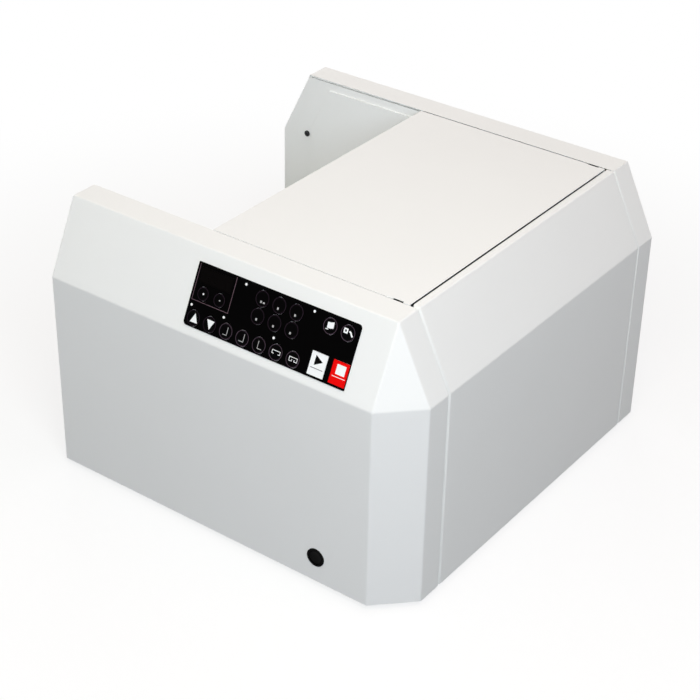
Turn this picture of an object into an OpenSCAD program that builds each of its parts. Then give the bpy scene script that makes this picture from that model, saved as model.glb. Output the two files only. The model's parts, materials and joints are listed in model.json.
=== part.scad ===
// Tabletop booklet maker.
// A set of sheets is laid in the open bay, pushed under the lid and stapled on its centre line.
// The motorised stop then pushes it back, and a knife folds it between two rollers.
// The finished booklet leaves through the slot under the feed table.
// Frame: origin on the desk under the middle of the body, X along the paper path from the open
// infeed end to the closed end, -Y towards the operator, Z up.

/* [Body] */
// Length of the body along the paper path
body_l = 482; // [470:1:520]
// Depth of the body across the paper path
body_d = 500; // [480:1:540]
// Height of the covers above their lower edge
cover_h = 306; // [290:1:330]
// Height of the bevels, measured down from the top
bevel_h = 79; // [74:1:90]
// Width cut off each upright corner, and run of the bevels
corner_cut = 38.5; // [34:0.5:42]
// Width of the flat strip on top of each side cover
strip_w = 30; // [26:0.5:34]
// Width of each side cover's flat end beside the infeed bay
infeed_face = 6; // [4:1:12]
// Thickness of the cover sheet
sheet = 2; // [1.5:0.1:2.4]
// Gap at the seams between the covers
seam_gap = 1; // [0.5:0.1:1.5]
// Width of the return flanges at the seams
seam_flange = 12; // [8:1:14]
// Height of the rubber feet
foot_h = 8; // [5:0.5:12]
// Diameter of the rubber feet
foot_d = 32; // [24:1:40]
// Distance of the feet from the covers' outer faces
foot_inset = 50; // [40:1:70]

/* [Lid] */
// Length of the lid along the paper path
lid_l = 236; // [228:1:240]
// Width of the end cover's strip beside the lid
end_strip = 7.5; // [4:0.5:9]
// Gap between the lid and the side covers' strips
lid_gap = 1; // [0.6:0.1:1.5]
// Gap between the lid and the end cover's strip
lid_end_gap = 2.5; // [2:0.1:4]
// Depth of the lid's turned-down edges
lid_flange = 14; // [12:0.5:18]
// Distance of the hinge axis from the lid's end edge
hinge_back = 13.5; // [13:0.5:20]
// Depth of the hinge axis below the lid's top
hinge_drop = 6; // [5:0.5:7]
// Radius of the hinge pins
hinge_r = 3; // [2:0.1:3.5]

/* [Frames and tables] */
// Thickness of the side frames
frame_t = 2; // [1.5:0.1:3]
// Thickness of the bay liners
liner_t = 2; // [1:0.1:2.5]
// Width of bare side frame left of the bay liners
liner_edge = 41; // [36:1:48]
// Width of bare side frame along its sloping edge
liner_slope_edge = 35; // [30:1:40]
// Depth of the bay liners' upper edge below the top
liner_drop = 12; // [8:0.5:16]
// Height of the paper surface above the desk
table_z = 130; // [126:1:136]
// Thickness of the table sheet
table_t = 2; // [1.5:0.1:2.5]
// Depth of the tables' turned-down edges
table_flange = 12; // [8:0.5:14]
// Height of the slot under the infeed panel
throat = 14; // [12:0.5:20]
// Height of the feed table's skirt at the infeed end
skirt_h = 66; // [50:1:70]

/* [Control panel] */
// Place of the fascia's lower left corner: distance from the closed end, and height up the bevel
panel_at = [268.7, 9]; // [5:0.1:290]
// Thickness of the fascia
panel_t = 1.2; // [1:0.1:1.8]
// Diameter of the round keys
key_d = 16; // [12:0.5:17]
// Distance between neighbouring keys
key_pitch = 20.4; // [19:0.1:20.6]
// Width and height of the start and stop keys
bar_key = [18.3, 22.7]; // [14:0.1:24]
// Travel of the keys
key_travel = 0.4; // [0.2:0.05:0.6]
// Diameter of the power button
power_d = 16; // [12:0.5:20]
// Place of the power button: distance from the closed end, and height above the covers' lower edge
power_at = [101, 29.7]; // [20:0.1:180]
// Travel of the power button
power_travel = 2; // [1:0.1:3]

/* [Guides] */
// Room between the open side guides and the bay liners
guide_room = 6.3; // [3:0.1:12]
// Inward travel of each side guide
guide_travel = 100; // [60:1:110]
// Height of the side guides above the table
guide_h = 37; // [25:1:38]
// Gear module of the guides' racks and pinion
rack_m = 1.5; // [1:0.1:1.6]
// Teeth on the guides' pinion
pinion_teeth = 20; // [18:1:22]

/* [Fold station] */
// Distance of the fold line from the infeed panel
fold_in = 19; // [17:0.5:24]
// Diameter of the fold rollers
roller_d = 32; // [26:0.5:34]
// Gap between the fold rollers
nip_gap = 0.4; // [0.2:0.1:0.8]
// Radius of the rollers' journals
journal_r = 5; // [4:0.5:6]
// Teeth on each roller gear
roller_teeth = 20; // [18:1:24]
// Teeth on the drive motor's gear
motor_teeth = 40; // [34:1:44]
// Thickness of the fold knife
knife_t = 1.5; // [1:0.1:2]
// Length of the fold knife's edge
knife_l = 320; // [300:1:330]
// Stroke of the fold knife
knife_stroke = 26; // [22:0.5:28]
// Radius of the knife's cam shaft
cam_shaft_r = 5; // [4:0.5:6]
// Least distance of a cam follower from the cam shaft
cam_base = 15; // [14:0.5:17]
// Radius of the cam followers
follower_r = 5; // [4:0.5:6]

/* [Staple station] */
// Distance of the staple line from the fold line
staple_in = 30; // [29:0.5:34]
// Distance between the two stapler heads
head_pitch = 120; // [100:1:150]
// Downward travel of the stapler magazines
staple_travel = 10; // [6:0.5:11]
// Gap left under a pressed stapler magazine
press_gap = 2; // [1.5:0.5:4]

/* [Paper stop] */
// Longest sheet that the stop takes
sheet_max = 432; // [400:1:440]
// Travel of the paper stop
stop_travel = 111; // [80:1:112]
// Radius of the stop's rails
rail_r = 4; // [3:0.5:5]
// Radius of the stop's lead screw
screw_r = 4; // [3:0.5:5]

/* [Hidden] */
$fn = 48;
// running clearance round shafts and pins
run_fit = 0.05;
// clearance round pieces that slide
slide_fit = 0.3;
// length by which a cut passes through a face
over = 1;
// length by which two shapes of one solid reach into each other
join = 0.1;

// levels and planes of the body
half_l = body_l / 2;
half_d = body_d / 2;
z_low = foot_h;
z_floor = z_low + sheet;
z_top = z_low + cover_h;
z_bevel = z_top - bevel_h;
bevel_len = sqrt(bevel_h * bevel_h + corner_cut * corner_cut);
bevel_tilt = atan(corner_cut / bevel_h);
strip_y = half_d - corner_cut - strip_w;

// base plate and feet
base_gap = 0.5;
vent = [6, 50];
vent_step = 24;
vent_count = 7;
vent_in = 184;
vent_y = 120;
foot_edge = 2;

// side frames and bay liners
strip_overhang = 0.8;
strip_clear = 1.2;
frame_y = strip_y + strip_overhang;
frame_out = frame_y + frame_t;
frame_top = z_top - sheet - strip_clear;
frame_end = 1;
liner_y = frame_y - liner_t;
liner_notch = 2;
flange_behind = liner_edge + sheet;
// how far the corners at the infeed end are cut along Y, and the length of that cut
infeed_cut = half_d - frame_out - infeed_face;
infeed_cut_len = sqrt(corner_cut * corner_cut + infeed_cut * infeed_cut);

// lid and hinge, with the length and depth of the notches over the hinge pins
lid_x1 = half_l - corner_cut - end_strip - lid_end_gap;
lid_x0 = lid_x1 - lid_l;
lid_y = strip_y - lid_gap;
hinge_x = lid_x1 - hinge_back;
hinge_z = z_top - hinge_drop;
hinge_notch = [12.5, 1.2];
// clear of the lid's turned-down edges, below them and between them
under_lid = z_top - lid_flange - lid_gap;
inside_lid = lid_y - sheet - lid_gap;

// stations along the paper path, measured from the closed end
stop_room = 11;
stop_face_x = half_l - sheet - stop_room;
staple_x = stop_face_x - sheet_max / 2;
fold_x = staple_x - staple_in;
infeed_x = fold_x - fold_in;
infeed_lip = 12;
infeed_flange = 14;
infeed_top_gap = 0.5;
knife_slot = 10;
table_low = table_z - table_t;
table_end = 1;
tongue_end = 2;
tongue_side = 6;

// fold rollers and their gears
roller_r = roller_d / 2;
roller_step = roller_d + nip_gap;
roller_drop = 4;
roller_z = table_low - roller_drop - roller_r;
left_roller_x = fold_x - roller_step / 2;
right_roller_x = fold_x + roller_step / 2;
roller_end = 6;
roller_half = frame_y - roller_end;
journal_end = 4;
gear_m = roller_step / roller_teeth;
gear_t = 10;
gear_gap = 6;
gear_y = frame_out + gear_gap;
shaft_end = 2;
pressure_angle = 20;
dedendum = 1.25;
tooth_play = 0.08;

// drive motor
motor_dir = -30;
motor_reach = gear_m * (roller_teeth + motor_teeth) / 2;
motor_x = right_roller_x + motor_reach * cos(motor_dir);
motor_z = roller_z + motor_reach * sin(motor_dir);
motor_r = 19;
motor_len = 70;
motor_flange = 4;
motor_shaft_r = 4;
motor_shaft_in = 20;

// delivery chute
chute_t = 1.5;
chute_gap = 14;
chute_rise = 10;
chute_mouth = 24;
chute_turn = 80;
chute_step = 10;

// fold knife, its yokes and its cams, hung below the covers' top
knife_lift = 10;
knife_tip_z = table_z + knife_lift;
knife_tip_w = 0.5;
knife_edge_h = 6;
carrier = [16, 16];
carrier_room = 2;
yoke_t = 4;
yoke_gap = 4;
yoke_y = frame_out + yoke_gap;
yoke_w = 28;
yoke_edge = 3;
yoke_clear = 28;
yoke_top = z_top - sheet - yoke_clear;
cam_t = 8;
cam_gap = 1;
cam_y = yoke_y + yoke_t + cam_gap;
cam_top = cam_base + knife_stroke;
cam_z = yoke_top - yoke_edge - follower_r - cam_top;
carrier_z = cam_z - cam_base - follower_r - yoke_edge - carrier.y;
cam_play = 0.15;
cam_step = 4;
cam_reach_span = 40;

// knife motor: a plate on two posts, with the gear head on it
knife_plate = [6, 3, 18];
knife_plate_gap = 4;
knife_post_r = 3.5;
knife_post_gap = 2;
knife_head_r = 17;
knife_head_len = 20;
knife_bore = 14;

// side guides, their racks and their motor
guide_in = 13;
guide_out = 17;
guide_x0 = guide_in - half_l;
guide_x1 = infeed_x - guide_out;
guide_x = (guide_x0 + guide_x1) / 2;
guide_t = 2;
guide_lift = 0.5;
guide_foot = 12;
guide_foot_end = 10;
guide_nose = [22, 18];
guide_y = liner_y - guide_room - guide_foot;
pinion_r = rack_m * pinion_teeth / 2;
pinion_hub_r = 7;
pinion_hub_gap = 0.6;
rack_t = 8;
rack_back = 6;
rack_drop = 9;
rack_top = table_low - rack_drop;
rack_low = rack_top - rack_t;
rack_mid = pinion_r + dedendum * rack_m + rack_back / 2;
rack_tail = 16;
slot_w = 8;
slot_play = 1;
slot_end = 2;
stem_in = 2;
plate_drop = 4;
motor_plate_z = rack_low - plate_drop;
hanger_gap = 7;
hanger_w = 20;
stepper = [42, 42, 32];
stepper_boss_r = 11;
stepper_boss_play = 0.2;
stepper_shaft_r = 2.5;
stepper_shaft_in = 12;
stepper_bore = 14;

// stapler heads under their beam, magazines and clinchers
beam = [30, 30];
beam_wall = 2.5;
beam_in = 48;
beam_clear = 7;
beam_x = staple_x + beam_in;
head_w = 40;
head_l = 92;
head_ahead = 8;
head_x0 = staple_x - head_ahead;
head_clear = 42;
head_z0 = table_z + head_clear;
head_z1 = under_lid - beam_clear - beam.y;
head_slope = 26;
head_brow = 19;
nose_in = 1;
nose_x = head_x0 + nose_in;
nose_l = 19;
nose_w = 30;
nose_rise = 23;
nose_room = 4;
nose_top = head_z0 + nose_rise;
nose_z = table_z + staple_travel + press_gap;
nose_slot = [2.5, 14, 2];
magazine_lift = 8;
magazine_h = 18;
magazine_w = 24;
magazine_wall = 4;
magazine_tail = 10;
anvil = [28, 28, 6];
anvil_ahead = 6;
anvil_x = staple_x - anvil_ahead;
anvil_gap = 6;
clinch_groove = [2, 6, 1];
clinch_pitch = 12;
clincher = [16, 20];

// paper stop, its rails and its screw
carriage = [12, 224, 20];
stop_drop = 16;
stop_z = table_low - stop_drop;
finger = [3, 12, 22];
finger_y = 60;
finger_play = 1;
finger_end = 2;
carriage_x1 = stop_face_x + finger.x;
rail_y = 95;
bracket_t = 3;
bracket_drop = 14;
stop_spare = 6;
stop_end = 2;
stop_x0 = stop_face_x - stop_travel - carriage.x - bracket_t - stop_spare;
stop_x1 = carriage_x1 + stop_end;
small_stepper = [36, 28, 28];
screw_bore = 14;
screw_in = 12;

// keypad: margins round the keys, gaps between their rows, and places that follow from them
panel_x = half_l - panel_at.x;
panel_y = panel_at.y;
panel_left = 2.6;
panel_right = 0.65;
panel_low = 1.2;
panel_high = 3.8;
row_gap = 1.5;
lower_gap = 9.5;
bar_gap = 10.75;
bar_space = 6.5;
bar_low = 2.35;
option_in = 1.6;
display_in = 3.5;
size_column = 3.5;
mode_column = 2;
mode_count = 5;
column_0 = panel_x + panel_left + key_d / 2;
row_low = panel_y + panel_low + key_d / 2;
row_mid = row_low + key_d + lower_gap;
row_high = row_mid + key_d + row_gap;
last_mode_x = column_0 + (mode_column + mode_count - 1) * key_pitch;
start_key_x = last_mode_x + key_d / 2 + bar_gap + bar_key.x / 2;
stop_key_x = start_key_x + bar_key.x + bar_space;
bar_y = panel_y + bar_low + bar_key.y / 2;
panel_l = stop_key_x + bar_key.x / 2 + panel_right - panel_x;
panel_h = row_high + key_d / 2 + panel_high - panel_y;
panel_round = 4;
panel_sharp = 0.8;

// keys, display window and control board
key_rest = 0.1;
key_cap_t = panel_t - key_travel - key_rest;
key_play = 0.3;
key_proud = 0.12;
small_key_d = key_d - 2.4;
stem_r = 2;
stem_play = 0.6;
window = [40, 15];
window_in = 4.6;
window_up = 3.5;
window_at = [panel_x + window_in, row_mid + small_key_d / 2 + window_up];
window_ledge = 0.4;
window_edge = 1.5;
board_depth = 8;
board_t = 1.6;
board_margin = 3;
dome = [6, 6, 2];
dome_gap = 0.2;
post_r = 3;
post_in = [38, 126];
post_down = 10;
// each key: name, place on the bevel, round diameter or 0 for a bar key
KEYS = concat(
    [["key_up", [column_0, row_low], key_d],
     ["key_down", [column_0 + key_pitch, row_low], key_d]],
    [for (i = [1:mode_count])
        [str("key_mode_", i), [column_0 + (mode_column + i - 1) * key_pitch, row_low], key_d]],
    [for (i = [1:6])
        let (x = column_0 + (size_column + (i - 1) % 3) * key_pitch, y = i < 4 ? row_high : row_mid)
        [str("key_size_", i), [x, y], key_d]],
    [for (i = [1:2])
        [str("key_display_", i), [column_0 + display_in + (i - 1) * key_pitch, row_mid], small_key_d]],
    [for (i = [1:2])
        [str("key_option_", i), [start_key_x + option_in + (i - 1) * key_pitch, row_high], key_d]],
    [["key_start", [start_key_x, bar_y], 0],
     ["key_stop", [stop_key_x, bar_y], 0]]);

// power switch and its button
power_x = half_l - power_at.x;
power_z = z_low + power_at.y;
bezel_w = 2.25;
bezel_proud = 1;
barrel_wall = 1.4;
barrel_play = 0.1;
switch_len = 24;
button_inset = 0.3;
button_dish = [0.6, 0.4];
button_edge = [1, 0.8];
button_stop = 0.4;

// mains inlet and power supply
inlet_in = 66;
inlet_h = 40;
inlet_x = half_l - inlet_in;
inlet_z = z_low + inlet_h;
inlet_socket = [26, 19];
inlet_chamfer = 5;
inlet_wall = 1.8;
inlet_play = 0.2;
inlet_flange = [50, 26, 3];
inlet_depth = 24;
inlet_back = 4;
inlet_pin = [2, 10, 5];
inlet_pin_short = 8;
INLET_PINS = [[-7, -2], [0, 2], [7, -2]];
supply = [130, 100, 42];
supply_gap = 24;
supply_y = 30;
supply_slot = [4, 3, 22];
supply_slot_step = 12;
supply_slot_in = 15;
supply_slot_up = 10;

// screws that hold the covers to the side frames
screw_head_r = 3.6;
screw_head_h = 2.2;
screw_rim_h = 1.2;
screw_rim_r = 2.4;
screw_hex_r = 1.3;
screw_hex_z = 1;
screw_shank_r = 2;
screw_shank_in = 4;
screw_gap = 2.8;
screw_rise = 2.7;
screw_low = 70;
screw_x = liner_edge - screw_head_r - screw_gap - half_l;
SCREWS = [[screw_x, z_bevel + screw_rise], [screw_x, z_low + screw_low]];

KEY_NODES = [for (k = KEYS) k[0]];

// Shared shapes

// distance of a bevel from the outer wall at height z, for a face that lies w inside it
function bevel_inset(z, w = 0) = (w * bevel_len + (z - z_bevel) * corner_cut) / bevel_h;
// height at which a bevel that lies w inside meets the wall that lies w inside
function bevel_start(w) = z_bevel - w * (bevel_len - bevel_h) / corner_cut;
function turn(r, a) = [r * cos(a), r * sin(a)];

// the whole body, with its corners cut and its top bevelled, moved in by one thickness
module body_block(w = 0) {
    l = half_l - w;
    d = half_d - w;
    c = corner_cut - w * (2 - sqrt(2));
    infeed_c = corner_cut - w * (1 - (infeed_cut_len - corner_cut) / infeed_cut);
    infeed_d = d - infeed_cut + w * (1 - (infeed_cut_len - infeed_cut) / corner_cut);
    top = z_top - w;
    run = bevel_inset(top, w);
    low = w > 0 ? z_low - over : z_low;
    plan = [[l - c, -d], [l, c - d], [l, d - c], [l - c, d],
            [infeed_c - l, d], [-l, infeed_d], [-l, -infeed_d], [infeed_c - l, -d]];
    rim = [[half_l - run, run - half_d], [half_l - run, half_d - run],
           [run - half_l, half_d - run], [run - half_l, run - half_d]];
    polyhedron(
        points = concat([for (p = plan) [p.x, p.y, low]], [for (p = plan) [p.x, p.y, bevel_start(w)]],
            [for (p = rim) [p.x, p.y, top]]),
        faces = concat([[0, 1, 2, 3, 4, 5, 6, 7], [19, 18, 17, 16]],
            [for (i = [0:7]) let (j = (i + 1) % 8) [i, i + 8, j + 8, j]],
            [for (i = [0:3]) [8 + 2 * i, 16 + i, 9 + 2 * i]],
            [for (i = [0:3]) [9 + 2 * i, 16 + i, 16 + (i + 1) % 4, 8 + (2 * i + 2) % 8]]));
}

// a layer of sheet that follows the body, from outer to inner depth
module body_layer(outer, inner) {
    difference() {
        body_block(outer);
        body_block(inner);
    }
}

module block(low, high) {
    translate(low) cube(high - low);
}

// an outline in X and Z, given thickness along Y from y0 to y1
module upright(y0, y1) {
    translate([0, y1, 0]) rotate([90, 0, 0]) linear_extrude(y1 - y0) children();
}

module shaft_y(x, z, r, y0, y1) {
    translate([x, y1, z]) rotate([90, 0, 0]) cylinder(r = r, h = y1 - y0);
}

module shaft_x(y, z, r, x0, x1) {
    translate([x0, y, z]) rotate([0, 90, 0]) cylinder(r = r, h = x1 - x0);
}

module both_sides() {
    children();
    mirror([0, 1, 0]) children();
}

// places its children on the front bevel: X along the body, Y up the slope, Z outwards
module on_bevel() {
    translate([0, -half_d, z_bevel]) rotate([90 - bevel_tilt, 0, 0]) children();
}

// an outline of an involute gear, with a tooth centred at the angle phase
function involute(r, base) = let (a = acos(min(1, base / r))) tan(a) * 180 / PI - a;
function gear_outline(teeth, m, phase = 0) =
    let (pitch = teeth * m / 2, base = pitch * cos(pressure_angle),
         tip = pitch + m, root = pitch - dedendum * m, foot = max(root, base),
         half = 90 / teeth + involute(pitch, base) - tooth_play / pitch * 180 / PI,
         flank = [root, foot, (foot + pitch) / 2, pitch, (pitch + tip) / 2, tip],
         angle = [for (r = flank) half - involute(max(r, base), base)])
    [for (i = [0:teeth - 1], k = [0:11])
        let (n = k < 6 ? k : 11 - k, side = k < 6 ? -1 : 1)
        turn(flank[n], phase + i * 360 / teeth + side * angle[n])];
// the angle of a tooth on a gear that meshes with another one, which has a tooth at angle phase
function mesh_phase(phase, teeth, mate_teeth, towards) =
    towards + 180 - (phase - towards) * teeth / mate_teeth + 180 / mate_teeth;

// an outline of a rack along Y with its pitch line on X = 0, its teeth towards +X and a gap centred on Y = 0
function rack_outline(m, y0, y1) =
    let (p = PI * m, root = -dedendum * m, half = p / 4 - tooth_play, slope = tan(pressure_angle),
         first = ceil((y0 + p) / p), last = floor((y1 - p) / p) - 1)
    concat([[root - rack_back, y0], [root, y0]],
        [for (k = [first:last]) let (c = (k + 0.5) * p)
            each [[root, c - half + root * slope], [m, c - half + m * slope],
                  [m, c + half - m * slope], [root, c + half - root * slope]]],
        [[root, y1], [root - rack_back, y1]]);

// Casing

// the front one of the two side covers, without the holes of its own
module side_cover() {
    seam_x = lid_x1 + lid_end_gap;
    difference() {
        union() {
            intersection() {
                body_layer(0, sheet);
                block([-half_l - over, -half_d - over, 0], [half_l + over, -strip_y, z_top + over]);
            }
            intersection() {
                body_layer(sheet, sheet + flange_behind);
                block([-half_l, -frame_out - sheet, z_floor], [0, -frame_out, z_top]);
            }
            intersection() {
                body_layer(sheet, sheet + seam_flange);
                block([seam_x, -strip_y - sheet, z_floor], [half_l, -strip_y, z_top]);
            }
        }
        block([-half_l - over, -frame_out, z_low - over],
            [corner_cut - half_l + over, over - strip_y, frame_top]);
        for (s = SCREWS)
            shaft_y(s.x, s.y, screw_shank_r + run_fit, -frame_out - 3 * sheet, over - frame_out);
    }
}

module front_cover() {
    color("gainsboro") difference() {
        side_cover();
        on_bevel() for (k = KEYS) translate([k[1].x, k[1].y, -2 * sheet])
            cylinder(r = stem_r + stem_play, h = 3 * sheet);
        on_bevel() translate([window_at.x, window_at.y, -2 * sheet])
            cube([window.x, window.y, 3 * sheet]);
        shaft_y(power_x, power_z, power_d / 2 + barrel_wall + barrel_play,
            -half_d - over, 2 * sheet - half_d);
    }
}

module rear_cover() {
    w = inlet_socket.x / 2 + inlet_wall + inlet_play;
    h = inlet_socket.y / 2 + inlet_wall + inlet_play;
    color("gainsboro") difference() {
        mirror([0, 1, 0]) side_cover();
        block([inlet_x - w, half_d - 2 * sheet, inlet_z - h], [inlet_x + w, half_d + over, inlet_z + h]);
    }
}

module end_cover() {
    edge = strip_y - seam_gap;
    x0 = lid_x1 + lid_end_gap;
    color("gainsboro") {
        intersection() {
            body_layer(0, sheet);
            block([x0, -edge, 0], [half_l + over, edge, z_top + over]);
        }
        both_sides() intersection() {
            body_layer(sheet, sheet + seam_flange);
            block([x0, -edge, z_floor], [half_l, sheet - edge, z_top]);
        }
        block([x0, -edge, z_top - 2 * seam_flange], [x0 + sheet, edge, z_top]);
    }
}

module lid() {
    low = z_top - lid_flange;
    color("whitesmoke") difference() {
        block([lid_x0, -lid_y, low], [lid_x1, lid_y, z_top]);
        block([lid_x0 + sheet, sheet - lid_y, low - over], [lid_x1 - sheet, lid_y - sheet, z_top - sheet]);
        block([lid_x1 - sheet - over, sheet - lid_y, low - over],
            [lid_x1 + over, lid_y - sheet, low + hinge_drop]);
        both_sides() {
            shaft_y(hinge_x, hinge_z, hinge_r + run_fit, -lid_y - over, 2 * sheet - lid_y);
            block([hinge_x - hinge_notch.x / 2, -lid_y - over, z_top - sheet / 2],
                [hinge_x + hinge_notch.x / 2, hinge_notch.y - lid_y, z_top + over]);
        }
    }
}

module hinge_pins() {
    color("silver") both_sides() shaft_y(hinge_x, hinge_z, hinge_r, -frame_out, 2 * sheet - lid_y);
}

module base_plate() {
    color("lightgray") difference() {
        intersection() {
            body_block(sheet + base_gap);
            block([-half_l, -half_d, z_low], [half_l, half_d, z_floor]);
        }
        both_sides() for (i = [0:vent_count - 1])
            translate([half_l - vent_in + i * vent_step, vent_y, z_low + sheet / 2])
                cube([vent.x, vent.y, 2 * sheet], center = true);
    }
}

module feet() {
    r = foot_d / 2;
    hollow = [r / 3, foot_h / 2];
    color("#222222") for (x = [-1, 1], y = [-1, 1])
        translate([x * (half_l - foot_inset), y * (half_d - foot_inset), 0])
            rotate_extrude() polygon([[0, hollow.y], hollow, [hollow.x, 0], [r - foot_edge, 0],
                [r, foot_edge], [r, foot_h], [0, foot_h]]);
}

// Inner structure

// outline of a side frame: flush with the infeed end, inside the seam flanges at the other end
function frame_outline() =
    let (w = sheet + seam_flange + frame_end)
    [[-half_l, z_floor], [half_l - w, z_floor], [half_l - w, bevel_start(w)],
     [half_l - bevel_inset(frame_top, w), frame_top], [bevel_inset(frame_top) - half_l, frame_top],
     [-half_l, z_bevel]];

module side_frame(drive_side) {
    y0 = -frame_out - over;
    y1 = over - frame_y;
    slot = carrier.x / 2 + slide_fit;
    difference() {
        upright(-frame_out, -frame_y) polygon(frame_outline());
        for (x = [left_roller_x, right_roller_x]) shaft_y(x, roller_z, journal_r + run_fit, y0, y1);
        shaft_y(fold_x, cam_z, cam_shaft_r + run_fit, y0, y1);
        shaft_y(hinge_x, hinge_z, hinge_r, y0, y1);
        if (drive_side) shaft_y(motor_x, motor_z, motor_shaft_r + run_fit, y0, y1);
        for (s = SCREWS) shaft_y(s.x, s.y, screw_shank_r + 2 * run_fit, y0, y1);
        block([fold_x - slot, y0, carrier_z - knife_stroke - carrier_room],
            [fold_x + slot, y1, carrier_z + carrier.y + carrier_room]);
    }
}

module side_frames() {
    color("lightgray") {
        side_frame(true);
        mirror([0, 1, 0]) side_frame(false);
    }
}

module bay_liners() {
    top = max(z_top - liner_drop, under_lid);
    left = liner_edge - half_l;
    right = min(infeed_x, lid_x0 - lid_gap);
    slope_top = liner_slope_edge + bevel_inset(top) - half_l;
    knee = z_bevel + (liner_edge - liner_slope_edge) * bevel_h / corner_cut;
    color("lightgray") both_sides() difference() {
        upright(-frame_y, -liner_y) polygon([[left, z_floor], [infeed_x, z_floor], [infeed_x, under_lid],
            [right, under_lid], [right, top], [slope_top, top], [left, knee]]);
        shaft_y(left_roller_x, roller_z, journal_r + liner_notch, -frame_y - over, over - liner_y);
    }
}

module infeed_panel() {
    low = table_z + throat;
    high = z_top - sheet - infeed_top_gap;
    back = infeed_x + sheet;
    lip_rise = infeed_lip / 2;
    color("lightgray") {
        upright(-frame_y, frame_y)
            polygon([[infeed_x, low], [back, low], [back, under_lid], [infeed_x, under_lid]]);
        upright(-inside_lid, inside_lid) polygon([[infeed_x, low], [back, low], [back, high - sheet],
            [back + infeed_flange, high - sheet], [back + infeed_flange, high], [infeed_x, high]]);
        upright(-knife_l / 2, knife_l / 2) polygon([[infeed_x, low], [infeed_x, low + sheet],
            [infeed_x - infeed_lip, low + sheet + lip_rise], [infeed_x - infeed_lip, low + lip_rise]]);
    }
}

// Tables and chute

// under-table tabs and plate that carry the guides' motor
module motor_hanger() {
    tab_y = stepper.y / 2 + hanger_gap;
    block([guide_x - stepper.x / 2, -tab_y - sheet, motor_plate_z],
        [guide_x + stepper.x / 2, tab_y + sheet, motor_plate_z + sheet]);
    both_sides() block([guide_x - hanger_w / 2, tab_y, motor_plate_z],
        [guide_x + hanger_w / 2, tab_y + sheet, table_low + join]);
}

module feed_table() {
    x0 = sheet - half_l;
    x1 = fold_x - knife_slot / 2;
    color("silver") difference() {
        union() {
            block([x0, -liner_y, table_low], [x1, liner_y, table_z]);
            block([x0, -liner_y, table_z - skirt_h], [x0 + table_t, liner_y, table_z]);
            both_sides() block([x0, -liner_y, table_low - table_flange],
                [infeed_x, table_t - liner_y, table_z]);
            motor_hanger();
        }
        for (side = [-1, 1]) {
            x = guide_x + side * rack_mid;
            y_out = side * (guide_y + guide_foot + slot_end);
            y_in = side * (guide_y - guide_travel - slot_end);
            block([x - slot_w / 2, min(y_out, y_in), table_low - over],
                [x + slot_w / 2, max(y_out, y_in), table_z + over]);
        }
        translate([guide_x, 0, motor_plate_z - over])
            cylinder(r = stepper_boss_r + stepper_boss_play, h = sheet + 2 * over);
    }
}

module inner_table() {
    x0 = fold_x + knife_slot / 2;
    x1 = half_l - sheet - seam_flange - table_end;
    tongue_x = half_l - sheet - tongue_end;
    tongue_y = carriage.y / 2 + tongue_side;
    anvil_y = anvil.y / 2 + slide_fit;
    slot_y = finger.y / 2 + finger_play;
    color("silver") difference() {
        union() {
            block([x0, -frame_y, table_low], [x1, frame_y, table_z]);
            block([x0, -tongue_y, table_low], [tongue_x, tongue_y, table_z]);
            both_sides() block([anvil_x + anvil.x + anvil_gap, -frame_y, table_low - table_flange],
                [x1, table_t - frame_y, table_z]);
        }
        both_sides() {
            block([anvil_x - slide_fit, head_pitch / 2 - anvil_y, table_low - over],
                [anvil_x + anvil.x + slide_fit, head_pitch / 2 + anvil_y, table_z + over]);
            block([stop_face_x - stop_travel - finger_end, finger_y - slot_y, table_low - over],
                [carriage_x1 + finger_play, finger_y + slot_y, table_z + over]);
        }
    }
}

// a curved sheet that leads a folded booklet from under the rollers to the infeed end
module delivery_chute() {
    bend_r = roller_z - roller_r - z_floor - chute_gap;
    centre = [fold_x + chute_mouth - bend_r, z_floor + chute_rise + bend_r];
    outer = [for (a = [0:-chute_step:-chute_turn]) centre + turn(bend_r, a)];
    inner = [for (a = [-chute_turn:chute_step:0]) centre + turn(bend_r - chute_t, a)];
    end_x = 2 * sheet - half_l;
    color("silver") upright(-liner_y, liner_y)
        polygon(concat(outer, [[end_x, z_floor], [end_x, z_floor + chute_t]], inner));
}

module cover_screws() {
    color("#1c1c1c") both_sides() for (s = SCREWS) {
        translate([s.x, -frame_y, s.y]) rotate([-90, 0, 0]) rotate_extrude()
            polygon([[0, screw_hex_z], [screw_hex_r, screw_hex_z], [screw_hex_r, screw_head_h],
                [screw_rim_r, screw_head_h], [screw_head_r, screw_rim_h], [screw_head_r, 0], [0, 0]]);
        shaft_y(s.x, s.y, screw_shank_r, -frame_out - sheet - screw_shank_in, -frame_y);
    }
}

// Control panel

// a plate in the fascia's plane with two round and two nearly sharp corners
module fascia_outline() {
    x1 = panel_x + panel_l;
    y1 = panel_y + panel_h;
    // each corner: the centre of its arc, its radius and its first angle
    corners = [[panel_x + panel_round, panel_y + panel_round, panel_round, 180],
        [x1 - panel_sharp, panel_y + panel_sharp, panel_sharp, 270],
        [x1 - panel_round, y1 - panel_round, panel_round, 0],
        [panel_x + panel_sharp, y1 - panel_sharp, panel_sharp, 90]];
    polygon([for (c = corners, a = [0:15:90]) [c[0], c[1]] + turn(c[2], c[3] + a)]);
}

// the outline of one key, grown by a clearance
module key_outline(key, grow = 0) {
    if (key[2] > 0) translate(key[1]) circle(d = key[2] + 2 * grow);
    else translate(key[1]) square([bar_key.x + 2 * grow, bar_key.y + 2 * grow], center = true);
}

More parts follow.
